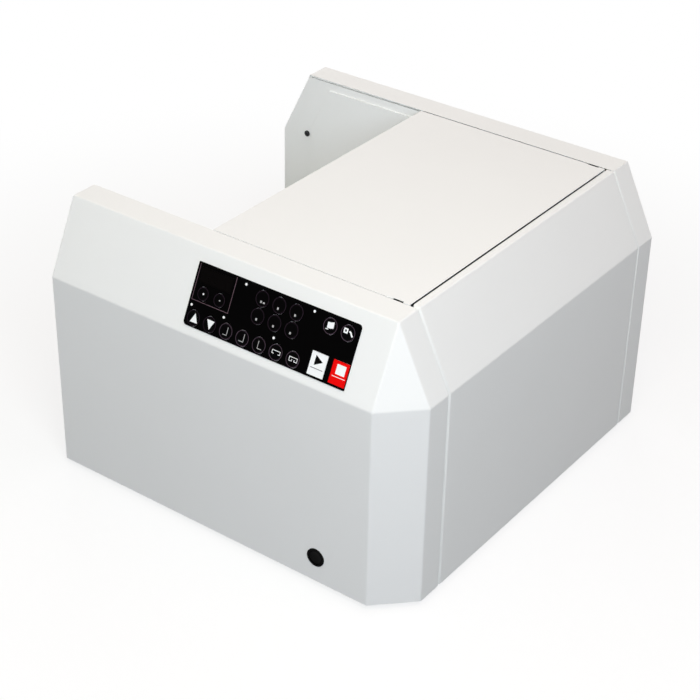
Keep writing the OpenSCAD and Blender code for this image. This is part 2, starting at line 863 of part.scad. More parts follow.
module panel_fascia() {
    play = [key_play, key_play];
    edge = [window_edge, window_edge];
    color("black") on_bevel() difference() {
        linear_extrude(panel_t) fascia_outline();
        for (k = KEYS) translate([0, 0, -over]) linear_extrude(panel_t + 2 * over) key_outline(k, key_play);
        translate([0, 0, window_ledge]) linear_extrude(panel_t)
            translate(window_at - play) square(window + 2 * play);
        translate([0, 0, -over]) linear_extrude(panel_t + 2 * over)
            translate(window_at + edge) square(window - 2 * edge);
    }
}

module display_window() {
    color("#30100c") on_bevel() translate([window_at.x, window_at.y, window_ledge])
        cube([window.x, window.y, panel_t - window_ledge]);
}

module key(k) {
    tint = k[0] == "key_start" ? "white" : k[0] == "key_stop" ? "red" : "#101010";
    cap_z = panel_t - key_cap_t;
    stem_z = dome.z - board_depth;
    color(tint) on_bevel() {
        translate([0, 0, cap_z]) linear_extrude(key_cap_t + key_proud) key_outline(k);
        translate([k[1].x, k[1].y, stem_z]) cylinder(r = stem_r, h = cap_z - stem_z);
    }
}

module control_board() {
    color("darkgreen") on_bevel() {
        translate([panel_x + board_margin, panel_y + board_margin, -board_depth - board_t])
            cube([panel_l - 2 * board_margin, panel_h - 2 * board_margin, board_t]);
        for (k = KEYS) translate([k[1].x - dome.x / 2, k[1].y - dome.y / 2, -board_depth - join])
            cube([dome.x, dome.y, dome.z + join - key_travel - dome_gap]);
        for (x = post_in) translate([panel_x + x, panel_y + panel_h / 2 - post_down, -board_depth - join])
            cylinder(r = post_r, h = board_depth + join - sheet);
    }
}

module power_switch() {
    r = power_d / 2;
    face = -half_d - bezel_proud;
    color("#161616") difference() {
        union() {
            shaft_y(power_x, power_z, r + bezel_w, face, -half_d);
            shaft_y(power_x, power_z, r + barrel_wall, face, switch_len - half_d);
        }
        shaft_y(power_x, power_z, r + key_play, face - over, switch_len / 2 - half_d);
    }
}

module power_button() {
    r = power_d / 2;
    low = switch_len / 2 - power_travel - button_stop;
    color("#202020") translate([power_x, button_inset - half_d - bezel_proud, power_z])
        rotate([-90, 0, 0]) rotate_extrude()
            polygon([[0, button_dish[0]], [r / 2, button_dish[1]], [r - button_edge[0], 0],
                [r, button_edge[1]], [r, low], [0, low]]);
}

module power_inlet() {
    y_in = half_d - sheet;
    y_back = y_in - inlet_depth;
    w = inlet_socket.x / 2;
    h = inlet_socket.y / 2;
    c = inlet_chamfer;
    color("#161616") {
        difference() {
            union() {
                block([inlet_x - inlet_flange.x / 2, y_in - inlet_flange.z, inlet_z - inlet_flange.y / 2],
                    [inlet_x + inlet_flange.x / 2, y_in, inlet_z + inlet_flange.y / 2]);
                block([inlet_x - w - inlet_wall, y_back, inlet_z - h - inlet_wall],
                    [inlet_x + w + inlet_wall, half_d, inlet_z + h + inlet_wall]);
            }
            upright(y_back + inlet_back, half_d + over) translate([inlet_x, inlet_z])
                polygon([[-w, h], [-w, c - h], [c - w, -h], [w - c, -h], [w, c - h], [w, h]]);
        }
        for (p = INLET_PINS) block(
            [inlet_x + p.x - inlet_pin.x / 2, y_back + inlet_back - join, inlet_z + p.y - inlet_pin.z / 2],
            [inlet_x + p.x + inlet_pin.x / 2, half_d - inlet_pin_short, inlet_z + p.y + inlet_pin.z / 2]);
    }
}

module power_supply() {
    at = [motor_x + motor_r + supply_gap, supply_y, z_floor];
    slots = floor((supply.x - 2 * supply_slot_in) / supply_slot_step);
    color("silver") difference() {
        block(at, at + supply);
        for (i = [0:slots])
            translate(at + [supply_slot_in + i * supply_slot_step, -over, supply_slot_up])
                cube(supply_slot + [0, over, 0]);
    }
}

// Side guides

module guide(side) {
    inner = side * guide_y;
    outer = inner + side * guide_t;
    foot_x = guide_x + side * rack_mid;
    foot_y = inner + side * guide_foot;
    stem_y = [inner + side * stem_in, foot_y - side * slot_play];
    stem_w = slot_w / 2 - slot_play;
    low = table_z + guide_lift;
    high = table_z + guide_h;
    upright(min(inner, outer), max(inner, outer))
        polygon([[guide_x0, low], [guide_x1, low], [guide_x1, high], [guide_x0 + guide_nose.x, high],
            [guide_x0, low + guide_nose.y]]);
    block([guide_x0 + guide_foot_end, min(inner, foot_y), low],
        [guide_x1 - guide_foot_end, max(inner, foot_y), low + guide_t]);
    block([foot_x - stem_w, min(stem_y), rack_top], [foot_x + stem_w, max(stem_y), low + join]);
}

module rack(side) {
    y0 = slot_play - guide_y - guide_foot;
    translate([guide_x, 0, rack_low]) rotate([0, 0, side > 0 ? 180 : 0]) translate([-pinion_r, 0, 0])
        linear_extrude(rack_t) polygon(rack_outline(rack_m, y0, rack_tail));
}

module front_guide() {
    color("silver") guide(-1);
    color("white") rack(-1);
}

module rear_guide() {
    color("silver") guide(1);
    color("white") rack(1);
}

module guide_pinion() {
    hub_z = motor_plate_z + sheet + pinion_hub_gap;
    color("burlywood") translate([guide_x, 0, 0]) {
        translate([0, 0, rack_low]) linear_extrude(rack_t) polygon(gear_outline(pinion_teeth, rack_m));
        translate([0, 0, motor_plate_z - stepper_shaft_in])
            cylinder(r = stepper_shaft_r, h = rack_low - motor_plate_z + stepper_shaft_in + join);
        translate([0, 0, hub_z]) cylinder(r = pinion_hub_r, h = rack_low - hub_z + join);
    }
}

module stepper_motors() {
    color("dimgray") {
        translate([guide_x, 0, motor_plate_z]) difference() {
            union() {
                translate([-stepper.x / 2, -stepper.y / 2, -stepper.z]) cube(stepper);
                translate([0, 0, -join]) cylinder(r = stepper_boss_r, h = join + sheet);
            }
            translate([0, 0, -stepper_bore])
                cylinder(r = stepper_shaft_r + run_fit, h = stepper_bore + 2 * sheet);
        }
        difference() {
            translate([stop_x0 - small_stepper.x, -small_stepper.y / 2, stop_z - small_stepper.z / 2])
                cube(small_stepper);
            shaft_x(0, stop_z, screw_r + run_fit, stop_x0 - screw_bore, stop_x0 + over);
        }
    }
}

// Paper stop

module paper_stop() {
    x0 = carriage_x1 - carriage.x;
    color("dimgray") difference() {
        union() {
            block([x0, -carriage.y / 2, stop_z - carriage.z / 2],
                [carriage_x1, carriage.y / 2, stop_z + carriage.z / 2]);
            both_sides() block([stop_face_x, finger_y - finger.y / 2, stop_z],
                [carriage_x1, finger_y + finger.y / 2, table_z + finger.z]);
        }
        both_sides() shaft_x(rail_y, stop_z, rail_r + run_fit, x0 - over, carriage_x1 + over);
        shaft_x(0, stop_z, screw_r + run_fit, x0 - over, carriage_x1 + over);
    }
}

module stop_rails() {
    color("silver") {
        both_sides() shaft_x(rail_y, stop_z, rail_r, stop_x0, stop_x1 + bracket_t);
        for (x = [stop_x0, stop_x1]) difference() {
            block([x, -carriage.y / 2, stop_z - bracket_drop], [x + bracket_t, carriage.y / 2, table_low]);
            both_sides() shaft_x(rail_y, stop_z, rail_r, x - over, x + bracket_t + over);
            shaft_x(0, stop_z, screw_r + run_fit, x - over, x + bracket_t + over);
        }
    }
}

module stop_screw() {
    color("gray") shaft_x(0, stop_z, screw_r, stop_x0 - screw_in, stop_x1 + bracket_t);
}

// Staple station

module stapler_beam() {
    x1 = beam_x + beam.x;
    z1 = head_z1 + beam.y;
    color("silver") difference() {
        block([beam_x, -frame_y, head_z1], [x1, frame_y, z1]);
        block([beam_x + beam_wall, -frame_y - over, head_z1 + beam_wall],
            [x1 - beam_wall, frame_y + over, z1 - beam_wall]);
    }
}

module stapler_heads() {
    x1 = head_x0 + head_l;
    pocket = nose_w / 2 + slide_fit;
    color("dimgray") for (side = [-1, 1]) translate([0, side * head_pitch / 2, 0]) difference() {
        upright(-head_w / 2, head_w / 2) polygon([[head_x0, head_z0], [x1, head_z0], [x1, head_z1],
            [head_x0 + head_slope, head_z1], [head_x0, nose_top + head_brow]]);
        block([nose_x - slide_fit, -pocket, head_z0 - over],
            [nose_x + nose_l + slide_fit, pocket, nose_top + nose_room]);
    }
}

// a magazine with the nose that drives the staple
module magazine(side) {
    z0 = nose_z + magazine_lift;
    inside = magazine_w / 2 - magazine_wall;
    color("goldenrod") translate([0, side * head_pitch / 2, 0]) difference() {
        union() {
            block([nose_x, -nose_w / 2, nose_z], [nose_x + nose_l, nose_w / 2, nose_top]);
            block([nose_x + over, -magazine_w / 2, z0],
                [nose_x + head_l + magazine_tail, magazine_w / 2, z0 + magazine_h]);
        }
        block([nose_x + nose_l + magazine_tail, -inside, z0 + magazine_wall],
            [nose_x + head_l, inside, z0 + magazine_h + over]);
        block([nose_x - over, -nose_slot.y / 2, nose_z - over],
            [nose_x + nose_slot.x, nose_slot.y / 2, nose_z + nose_slot.z]);
    }
}

module front_magazine() {
    magazine(-1);
}

module rear_magazine() {
    magazine(1);
}

module clincher_bar() {
    x1 = anvil_x + anvil.x;
    z1 = table_z - anvil.z;
    color("silver") {
        block([x1 - clincher.x, -frame_y, z1 - clincher.y], [x1, frame_y, z1]);
        for (side = [-1, 1]) translate([0, side * head_pitch / 2, 0]) difference() {
            block([anvil_x, -anvil.y / 2, z1 - join], [x1, anvil.y / 2, table_z]);
            both_sides() translate([staple_x, clinch_pitch / 2, table_z])
                cube([clinch_groove.x, clinch_groove.y, 2 * clinch_groove.z], center = true);
        }
    }
}

// Fold station

module fold_knife() {
    half = knife_t / 2;
    tip = knife_tip_w / 2;
    edge_z = knife_tip_z + knife_edge_h;
    color("lightsteelblue") upright(-knife_l / 2, knife_l / 2) translate([fold_x, 0])
        polygon([[-tip, knife_tip_z], [tip, knife_tip_z], [half, edge_z], [half, carrier_z],
            [-half, carrier_z], [-half, edge_z]]);
}

// a slotted plate outside a side frame, with a follower below and above its cam
module yoke() {
    x0 = fold_x - yoke_w / 2;
    outside = -yoke_y - yoke_t;
    slot_r = cam_shaft_r + slide_fit;
    difference() {
        block([x0, outside, carrier_z], [x0 + yoke_w, -yoke_y, yoke_top]);
        block([fold_x - slot_r, outside - over, cam_z - slot_r],
            [fold_x + slot_r, over - yoke_y, cam_z + knife_stroke + slot_r]);
    }
    for (z = [cam_z - cam_base, cam_z + cam_top])
        shaft_y(fold_x, z, follower_r, -cam_y - cam_t - cam_gap, outside + join);
}

module knife_carrier() {
    color("silver") {
        block([fold_x - carrier.x / 2, -yoke_y - join, carrier_z],
            [fold_x + carrier.x / 2, yoke_y + join, carrier_z + carrier.y]);
        both_sides() yoke();
    }
}

// a heart-shaped cam: the follower's distance grows evenly over half a turn, so both followers stay on it
function cam_reach(a) = let (b = abs(a) % 360) cam_base + knife_stroke * (b > 180 ? 360 - b : b) / 180;
// the radius left at one angle when the follower has gone all round
function cam_radius(a) =
    let (r = follower_r + cam_play)
    min([for (d = [-cam_reach_span:cam_step / 2:cam_reach_span])
        let (p = cam_reach(a + d), s = p * sin(d))
        if (abs(s) < r) p * cos(d) - sqrt(r * r - s * s)]);
function cam_outline() = [for (a = [0:cam_step:360 - cam_step]) turn(cam_radius(a), a - 90)];

module cam_shaft() {
    outside = cam_y + cam_t;
    color("gray") {
        shaft_y(fold_x, cam_z, cam_shaft_r, -outside - shaft_end, outside + knife_bore - shaft_end);
        both_sides() translate([fold_x, 0, cam_z]) upright(-outside, -cam_y) polygon(cam_outline());
    }
}

module knife_motor() {
    plate_y = cam_y + cam_t + knife_plate_gap;
    post = cam_top + knife_post_gap;
    half = post + knife_plate.x;
    color("dimgray") difference() {
        union() {
            block([fold_x - half, plate_y, cam_z - knife_plate.z / 2],
                [fold_x + half, plate_y + knife_plate.y, cam_z + knife_plate.z / 2]);
            shaft_y(fold_x, cam_z, knife_head_r, plate_y + join, plate_y + knife_head_len);
            for (s = [-1, 1]) shaft_y(fold_x + s * post, cam_z, knife_post_r, frame_out, plate_y + join);
        }
        shaft_y(fold_x, cam_z, cam_shaft_r + run_fit, plate_y - over, plate_y + knife_bore);
    }
}

module fold_roller(x, phase) {
    color("#2b2b2b") shaft_y(x, roller_z, roller_r, -roller_half, roller_half);
    color("silver") shaft_y(x, roller_z, journal_r, -gear_y - gear_t - shaft_end, frame_out + journal_end);
    color("burlywood") translate([x, 0, roller_z]) upright(-gear_y - gear_t, -gear_y)
        polygon(gear_outline(roller_teeth, gear_m, phase));
}

module left_fold_roller() {
    fold_roller(left_roller_x, mesh_phase(180, roller_teeth, roller_teeth, 180));
}

module right_fold_roller() {
    fold_roller(right_roller_x, 0);
}

module motor_gear() {
    phase = mesh_phase(0, roller_teeth, motor_teeth, motor_dir);
    color("burlywood") {
        translate([motor_x, 0, motor_z]) upright(-gear_y - gear_t, -gear_y)
            polygon(gear_outline(motor_teeth, gear_m, phase));
        shaft_y(motor_x, motor_z, motor_shaft_r, -gear_y - gear_t - shaft_end, motor_shaft_in - frame_y);
    }
}

module main_motor() {
    color("dimgray") difference() {
        union() {
            shaft_y(motor_x, motor_z, motor_r, motor_flange - frame_y - join, motor_len - frame_y);
            block([motor_x - motor_r, -frame_y, motor_z - motor_r],
                [motor_x + motor_r, motor_flange - frame_y, motor_z + motor_r]);
        }
        shaft_y(motor_x, motor_z, motor_shaft_r + run_fit, -frame_y - over,
            motor_shaft_in + shaft_end - frame_y);
    }
}

front_cover();
rear_cover();
end_cover();
lid();
hinge_pins();
base_plate();
feet();
side_frames();
bay_liners();
infeed_panel();
feed_table();
inner_table();
delivery_chute();
cover_screws();
panel_fascia();
display_window();
control_board();
power_switch();
power_button();
power_inlet();
power_supply();
front_guide();
rear_guide();
guide_pinion();
stepper_motors();
paper_stop();
stop_rails();
stop_screw();
stapler_beam();
stapler_heads();
front_magazine();
rear_magazine();
clincher_bar();
fold_knife();
knife_carrier();
cam_shaft();
knife_motor();
left_fold_roller();
right_fold_roller();
motor_gear();
main_motor();
for (k = KEYS) key(k);
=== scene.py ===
"""Looks of a tabletop booklet maker: covers, lid, keypad print, metalwork, materials, light and camera."""

import json
import math

import bmesh
import bpy
from mathutils import Matrix, Vector


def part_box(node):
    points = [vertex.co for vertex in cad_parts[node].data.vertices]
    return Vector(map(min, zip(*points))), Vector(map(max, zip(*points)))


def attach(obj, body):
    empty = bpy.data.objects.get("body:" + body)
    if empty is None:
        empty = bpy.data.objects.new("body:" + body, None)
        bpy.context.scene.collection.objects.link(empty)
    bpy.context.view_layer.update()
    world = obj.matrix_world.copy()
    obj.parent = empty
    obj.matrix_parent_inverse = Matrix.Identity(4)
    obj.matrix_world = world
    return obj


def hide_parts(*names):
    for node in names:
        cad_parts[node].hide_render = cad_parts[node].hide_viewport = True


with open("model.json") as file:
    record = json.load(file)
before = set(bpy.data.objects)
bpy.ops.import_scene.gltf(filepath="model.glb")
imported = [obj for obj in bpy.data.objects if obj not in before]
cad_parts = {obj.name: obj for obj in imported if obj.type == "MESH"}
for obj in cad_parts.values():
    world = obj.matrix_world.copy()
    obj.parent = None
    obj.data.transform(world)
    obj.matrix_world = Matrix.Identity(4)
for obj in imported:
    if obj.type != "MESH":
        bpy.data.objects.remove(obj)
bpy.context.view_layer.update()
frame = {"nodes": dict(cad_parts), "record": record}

# Sizes in millimetres; the frame gives the boxes of the covers and the lid
MM = 0.001
CORNER_CUT = 38.5
BEVEL_H = 79.0
INFEED_FACE = 6.0
SHEET = 2.0
THROUGH = 4 * SHEET

# Radii and steps of the bends and the infeed end's edges, and radii along cuts and seams
BEND = 1.4
BEND_STEPS = 4
INFEED_EDGE = 0.7
INFEED_STEPS = 1
CUT_EDGE = 0.4
STRIP_EDGE = 1.0
SEAM_EDGE = 0.5
FRONT_SEAM = 4.2
REAR_SEAM = 2.4

# Flanges behind the seams, and the lip that an undercut leaves
SEAM_FLANGE = 12.0
LIP = 0.6
LIP_REACH = 4.0

# Limits for picking edges and faces
NEAR = 0.01
TINY = 1e-4
SHORT_EDGE = 3 * BEND
FACING_DOWN = -0.99
SAME_WAY = 0.999


def node_box(name):
    """Lowest and highest corner of a CAD node in millimetres."""
    low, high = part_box(name)
    return low / MM, high / MM


FRONT_LOW, FRONT_HIGH = node_box("front_cover")
END_LOW, END_HIGH = node_box("end_cover")
LID_LOW, LID_HIGH = node_box("lid")
FRAMES_HIGH = node_box("side_frames")[1]
HALF_L = FRONT_HIGH.x
HALF_D = -FRONT_LOW.y
Z_LOW = FRONT_LOW.z
Z_TOP = FRONT_HIGH.z
Z_BEVEL = Z_TOP - BEVEL_H
STRIP_Y = -FRONT_HIGH.y
SEAM_X = END_LOW.x
SEAM_Y = END_HIGH.y
FRAME_OUT = FRAMES_HIGH.y
FRAME_TOP = FRAMES_HIGH.z
TILT = math.atan(CORNER_CUT / BEVEL_H)
SLOPE_LEN = math.hypot(BEVEL_H, CORNER_CUT)


# Materials: noise scales are counts per metre, and depths of bumps are in micrometres

MICRON = 1e-6
NOISE_LOW, NOISE_HIGH = 0.3, 0.7
DRIFT_SCALE = 9
GRAINS_IN_PATCH = 6
GLOSS_RANGE = 0.05
GRAIN_STRENGTH = 0.25
CLOUD_SCALE = 60
CLOUD_SHADE = 0.94
LINE_STRENGTH = 0.2
LINE_DEPTH = 20
SMOOTHER, ROUGHER = 0.08, 0.1
BAND_REACH = 210.0
BAND_GRAIN = 1600
BAND_STRENGTH = 0.2
BAND_DEPTH = 50
PRINT_GRAIN = 2600
PRINT_DEPTH = 20


def new_material(name):
    """A node material and its principled shader."""
    material = bpy.data.materials.new(name)
    material.use_nodes = True
    return material, material.node_tree.nodes["Principled BSDF"]


def link(owner, a, b):
    """Joins two sockets in the nodes of a material or the world."""
    owner.node_tree.links.new(a, b)


def add_node(owner, kind, **values):
    """A new node with these settings or input values."""
    node = owner.node_tree.nodes.new(kind)
    for name, value in values.items():
        if hasattr(node, name):
            setattr(node, name, value)
        else:
            node.inputs[name.replace("_", " ")].default_value = value
    return node


def place(material, scale=(1, 1, 1)):
    """Object coordinates, which are metres in the machine's frame, stretched by scale."""
    coordinates = add_node(material, "ShaderNodeTexCoord")
    mapping = add_node(material, "ShaderNodeMapping", Scale=scale)
    link(material, coordinates.outputs["Object"], mapping.inputs["Vector"])
    return mapping.outputs["Vector"]


def noise(material, vector, scale, detail=2.0, roughness=0.5):
    node = add_node(material, "ShaderNodeTexNoise", Scale=scale, Detail=detail, Roughness=roughness)
    link(material, vector, node.inputs["Vector"])
    return node.outputs["Fac"]


def spread(owner, value, low, high, start=NOISE_LOW, stop=NOISE_HIGH):
    """Maps a value from start..stop to low..high."""
    node = add_node(owner, "ShaderNodeMapRange")
    for name, number in (("From Min", start), ("From Max", stop), ("To Min", low), ("To Max", high)):
        node.inputs[name].default_value = number
    link(owner, value, node.inputs["Value"])
    return node.outputs["Result"]


def tint(material, value, dark, light):
    """A colour between dark and light, by a value from 0 to 1."""
    node = add_node(material, "ShaderNodeMix", data_type="RGBA")
    colour_a = next(s for s in node.inputs if s.name == "A" and s.type == "RGBA")
    colour_b = next(s for s in node.inputs if s.name == "B" and s.type == "RGBA")
    colour_a.default_value = (*dark, 1)
    colour_b.default_value = (*light, 1)
    link(material, value, node.inputs["Factor"])
    return next(s for s in node.outputs if s.name == "Result" and s.type == "RGBA")


def bump(material, shader, height, strength, depth):
    node = add_node(material, "ShaderNodeBump", Strength=strength, Distance=depth * MICRON)
    link(material, height, node.inputs["Height"])
    link(material, node.outputs["Normal"], shader.inputs["Normal"])


def shade(colour, factor):
    return tuple(min(1, c * factor) for c in colour)


def coated(name, colour, roughness, grain, depth, vary=0.03, specular=0.5):
    """Paint or moulded plastic: slight colour drift, uneven gloss and a fine grain."""
    material, shader = new_material(name)
    vector = place(material)
    drift = spread(material, noise(material, vector, DRIFT_SCALE, detail=3), 0, 1)
    link(material, tint(material, drift, shade(colour, 1 - vary), colour), shader.inputs["Base Color"])
    patches = noise(material, vector, grain / GRAINS_IN_PATCH, detail=3)
    gloss = spread(material, patches, roughness - GLOSS_RANGE, roughness + GLOSS_RANGE)
    link(material, gloss, shader.inputs["Roughness"])
    shader.inputs["Specular IOR Level"].default_value = specular
    bump(material, shader, noise(material, vector, grain), GRAIN_STRENGTH, depth)
    return material


def ink(name, colour, vary, specular=0.05, roughness=0.5):
    """Print, with the fine grain of a film."""
    return coated(name, colour, roughness, PRINT_GRAIN, PRINT_DEPTH, vary, specular)


def metal(name, colour, roughness, stretch, scale):
    """Bare metal with fine lines along one direction."""
    material, shader = new_material(name)
    shader.inputs["Metallic"].default_value = 1
    lines = noise(material, place(material, stretch), scale, detail=4, roughness=0.6)
    clouds = spread(material, noise(material, place(material), CLOUD_SCALE, detail=3), 0, 1)
    link(material, tint(material, clouds, shade(colour, CLOUD_SHADE), colour), shader.inputs["Base Color"])
    gloss = spread(material, lines, roughness - SMOOTHER, roughness + ROUGHER)
    link(material, gloss, shader.inputs["Roughness"])
    bump(material, shader, lines, LINE_STRENGTH, LINE_DEPTH)
    return material


def banded(name, bands):
    """A turned part with different materials along its width.

    A band is the place along Y where it starts, a colour, a metallic value and a roughness."""
    material, shader = new_material(name)
    axes = add_node(material, "ShaderNodeSeparateXYZ")
    link(material, place(material), axes.inputs["Vector"])
    across = spread(material, axes.outputs["Y"], 0, 1, -BAND_REACH * MM, BAND_REACH * MM)
    for socket, values in (("Base Color", [band[1] for band in bands]),
                           ("Metallic", [(band[2],) * 3 for band in bands]),
                           ("Roughness", [(band[3],) * 3 for band in bands])):
        ramp = add_node(material, "ShaderNodeValToRGB")
        ramp.color_ramp.interpolation = "CONSTANT"
        stops = ramp.color_ramp.elements
        stops.remove(stops[1])
        for band, value in zip(bands, values):
            where = (band[0] + BAND_REACH) / (2 * BAND_REACH)
            stop = stops[0] if band is bands[0] else stops.new(where)
            stop.position = where
            stop.color = (*value, 1)
        link(material, across, ramp.inputs["Fac"])
        link(material, ramp.outputs["Color"], shader.inputs[socket])
    bump(material, shader, noise(material, place(material), BAND_GRAIN), BAND_STRENGTH, BAND_DEPTH)
    return material


PAINT = (0.845, 0.85, 0.838)
# The covers' white paint made lighter for the parts inside the bay: painted bounce light on the inner walls
INNER_PAINTED_BOUNCE = (0.87, 0.875, 0.865)
ZINC = (0.62, 0.63, 0.64)
STEEL = ((0.56, 0.57, 0.58), 1.0, 0.3)
NYLON = ((0.72, 0.69, 0.58), 0.0, 0.48)
RUBBER = ((0.022, 0.022, 0.023), 0.0, 0.75)
ALONG_X, ALONG_Y = (1, 8, 8), (8, 1, 8)

# Name, colour, roughness, grain and its depth
# For bare metal the last two are the direction and the scale of its lines
MATERIALS = {
    "cover_paint": coated("powder_coat", PAINT, 0.56, 1500, 60, vary=0.012, specular=0.35),
    # A lighter copy of the cover paint, which carries painted bounce light
    "inner_paint": coated("inner_coat_painted_bounce", INNER_PAINTED_BOUNCE, 0.5, 1500, 60, vary=0.015, specular=0.35),
    "zinc": metal("zinc_plate", ZINC, 0.44, ALONG_X, 300),
    "steel": metal("ground_steel", STEEL[0], STEEL[2], ALONG_Y, 260),
    "rubber": coated("black_rubber", RUBBER[0], RUBBER[2], 1800, 80, vary=0.25, specular=0.3),
    "fascia": ink("fascia_film", (0.0007, 0.0006, 0.0007), vary=0.3, specular=0.012, roughness=0.55),
    "key_black": ink("key_film", (0.0009, 0.0007, 0.0009), vary=0.3, specular=0.015),
    "key_white": coated("white_print", (0.87, 0.885, 0.89), 0.45, 2200, 20, vary=0.02, specular=0.3),
    "key_red": coated("red_print", (0.82, 0.002, 0.002), 0.5, 2200, 20, vary=0.05, specular=0.05),
    "display": coated("display_glass", (0.0012, 0.0007, 0.0007), 0.3, 900, 5, vary=0.3, specular=0.02),
    "board": coated("solder_mask", (0.012, 0.09, 0.035), 0.35, 700, 40, vary=0.3),
    "black_plastic": coated("black_plastic", (0.002, 0.002, 0.0021), 0.45, 2400, 60, vary=0.2, specular=0.03),
    "motor_black": coated("motor_enamel", (0.012, 0.012, 0.013), 0.4, 1200, 40, vary=0.25, specular=0.25),
    "nylon": coated("nylon", NYLON[0], NYLON[2], 1500, 50, vary=0.05),
    "head_grey": coated("head_plastic", (0.07, 0.072, 0.076), 0.5, 2000, 70, vary=0.15),
}
INK_RING = ink("ring_ink", (0.085, 0.058, 0.08), vary=0.4)
INK_FAINT = ink("faint_ink", (0.026, 0.015, 0.025), vary=0.4)
INK_DIM = ink("dim_ink", (0.17, 0.11, 0.135), vary=0.3)
INK_BLACK = ink("black_ink", (0.002, 0.002, 0.002), vary=0.2, specular=0.02, roughness=0.6)
INK_PALE = ink("pale_ink", (0.5, 0.5, 0.5), vary=0.1, specular=0.1)
INK_GREY = ink("grey_ink", (0.16, 0.15, 0.16), vary=0.2, specular=0.15)
WHITE = MATERIALS["key_white"]

# The rollers and the motor's gear: steel shafts with rubber sleeves and nylon gears
GEAR_OUT, GEAR_IN, SLEEVE = 200.3, 190.3, 176.3
ROLLER = banded("fold_roller", [(-BAND_REACH, *STEEL), (-GEAR_OUT, *NYLON), (-GEAR_IN, *STEEL),
                                (-SLEEVE, *RUBBER), (SLEEVE, *STEEL)])
GEAR_SHAFT = banded("gear_shaft", [(-BAND_REACH, *STEEL), (-GEAR_OUT, *NYLON), (-GEAR_IN, *STEEL)])


# Mesh helpers

SHARP_ANGLE = 32


def new_piece(name, bm, material, body):
    """Turns a bmesh in millimetres into an object in metres that rides on a body."""
    bm.transform(Matrix.Scale(MM, 4))
    mesh = bpy.data.meshes.new(name)
    bm.to_mesh(mesh)
    bm.free()
    piece = bpy.data.objects.new(name, mesh)
    bpy.context.scene.collection.objects.link(piece)
    mesh.materials.append(material)
    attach(piece, body)
    return piece


def bake(piece):
    """Puts the result of a piece's modifiers into its mesh."""
    shown = piece.evaluated_get(bpy.context.evaluated_depsgraph_get())
    old = piece.data
    piece.data = bpy.data.meshes.new_from_object(shown)
    piece.modifiers.clear()
    bpy.data.meshes.remove(old)
    piece.data.name = piece.name


def smooth(piece):
    """Smooth shading over the bends, sharp at the edges, flat on the faces."""
    piece.data.shade_smooth()
    piece.data.set_sharp_from_angle(angle=math.radians(SHARP_ANGLE))
    normals = piece.modifiers.new("normals", "WEIGHTED_NORMAL")
    normals.keep_sharp = True


def add_box(bm, low, high):
    size = Vector(high) - Vector(low)
    middle = (Vector(high) + Vector(low)) / 2
    matrix = Matrix.Translation(middle) @ Matrix.Diagonal((*size, 1))
    bmesh.ops.create_cube(bm, size=1, matrix=matrix)


def add_cylinder(bm, centre, axis, radius, length, steps):
    turn = Vector((0, 0, 1)).rotation_difference(Vector(axis)).to_matrix().to_4x4()
    bmesh.ops.create_cone(bm, cap_ends=True, segments=steps, radius1=radius, radius2=radius, depth=length,
                          matrix=Matrix.Translation(Vector(centre)) @ turn)


def join_rings(bm, rings, capped=True):
    """Makes the faces between rings of points, and those that close the first and the last."""
    count = len(rings[0])
    for a, b in zip(rings, rings[1:]):
        for i in range(count):
            j = (i + 1) % count
            bm.faces.new((a[i], a[j], b[j], b[i]))
    if capped:
        bm.faces.new(rings[0][::-1])
        bm.faces.new(rings[-1])


def add_bar(bm, profile, axis, start, stop):
    """A straight bar from start to stop along x or y, with a profile of the other of these and z."""
    ends = []
    for along in (start, stop):
        corners = [(along, across, z) if axis == "x" else (across, along, z) for across, z in profile]
        ends.append([bm.verts.new(corner) for corner in corners])
    first, last = ends
    faces = [bm.faces.new(first), bm.faces.new(last[::-1])]
    for i in range(len(profile)):
        j = (i + 1) % len(profile)
        faces.append(bm.faces.new((first[i], last[i], last[j], first[j])))
    bmesh.ops.recalc_face_normals(bm, faces=faces)


def cut(piece, cutter_mesh):
    """Takes the cutter's closed shapes, in millimetres, out of a piece."""
    cutter_mesh.transform(Matrix.Scale(MM, 4))
    mesh = bpy.data.meshes.new("cutter")
    cutter_mesh.to_mesh(mesh)
    cutter_mesh.free()
    cutter = bpy.data.objects.new("cutter", mesh)
    bpy.context.scene.collection.objects.link(cutter)
    step = piece.modifiers.new("cut", "BOOLEAN")
    step.operation = "DIFFERENCE"
    step.solver = "MANIFOLD"
    step.object = cutter
    bake(piece)
    bpy.data.objects.remove(cutter)
    bpy.data.meshes.remove(mesh)


# Covers

def body_block():
    """The whole body as one convex block, with its corners cut and its top bevelled."""
    bm = bmesh.new()
    l, d, c = HALF_L, HALF_D, CORNER_CUT
    infeed = FRAME_OUT + INFEED_FACE
    plan = [(l - c, -d), (l, c - d), (l, d - c), (l - c, d),
            (c - l, d), (-l, infeed), (-l, -infeed), (c - l, -d)]
    rim = [(l - c, c - d), (l - c, d - c), (c - l, d - c), (c - l, c - d)]
    count = len(plan)
    low = [bm.verts.new((x, y, Z_LOW)) for x, y in plan]
    middle = [bm.verts.new((x, y, Z_BEVEL)) for x, y in plan]
    top = [bm.verts.new((x, y, Z_TOP)) for x, y in rim]
    bm.faces.new(low[::-1])
    bm.faces.new(top)
    join_rings(bm, [low, middle], capped=False)
    for i in range(len(rim)):
        left, right = middle[2 * i], middle[2 * i + 1]
        bm.faces.new((left, right, top[i]))
        bm.faces.new((right, middle[(2 * i + 2) % count], top[(i + 1) % len(rim)], top[i]))
    return bm


def cut_block(bm, planes):
    """Keeps the part of a convex block behind each plane, and closes the cut."""
    for point, normal in planes:
        result = bmesh.ops.bisect_plane(bm, geom=bm.verts[:] + bm.edges[:] + bm.faces[:], plane_co=point,
                                        plane_no=normal, clear_outer=True)
        rim = [e for e in result["geom_cut"] if isinstance(e, bmesh.types.BMEdge)]
        bmesh.ops.edgeloop_fill(bm, edges=rim)
    bmesh.ops.recalc_face_normals(bm, faces=bm.faces[:])


ROUND_PROFILE = 0.5


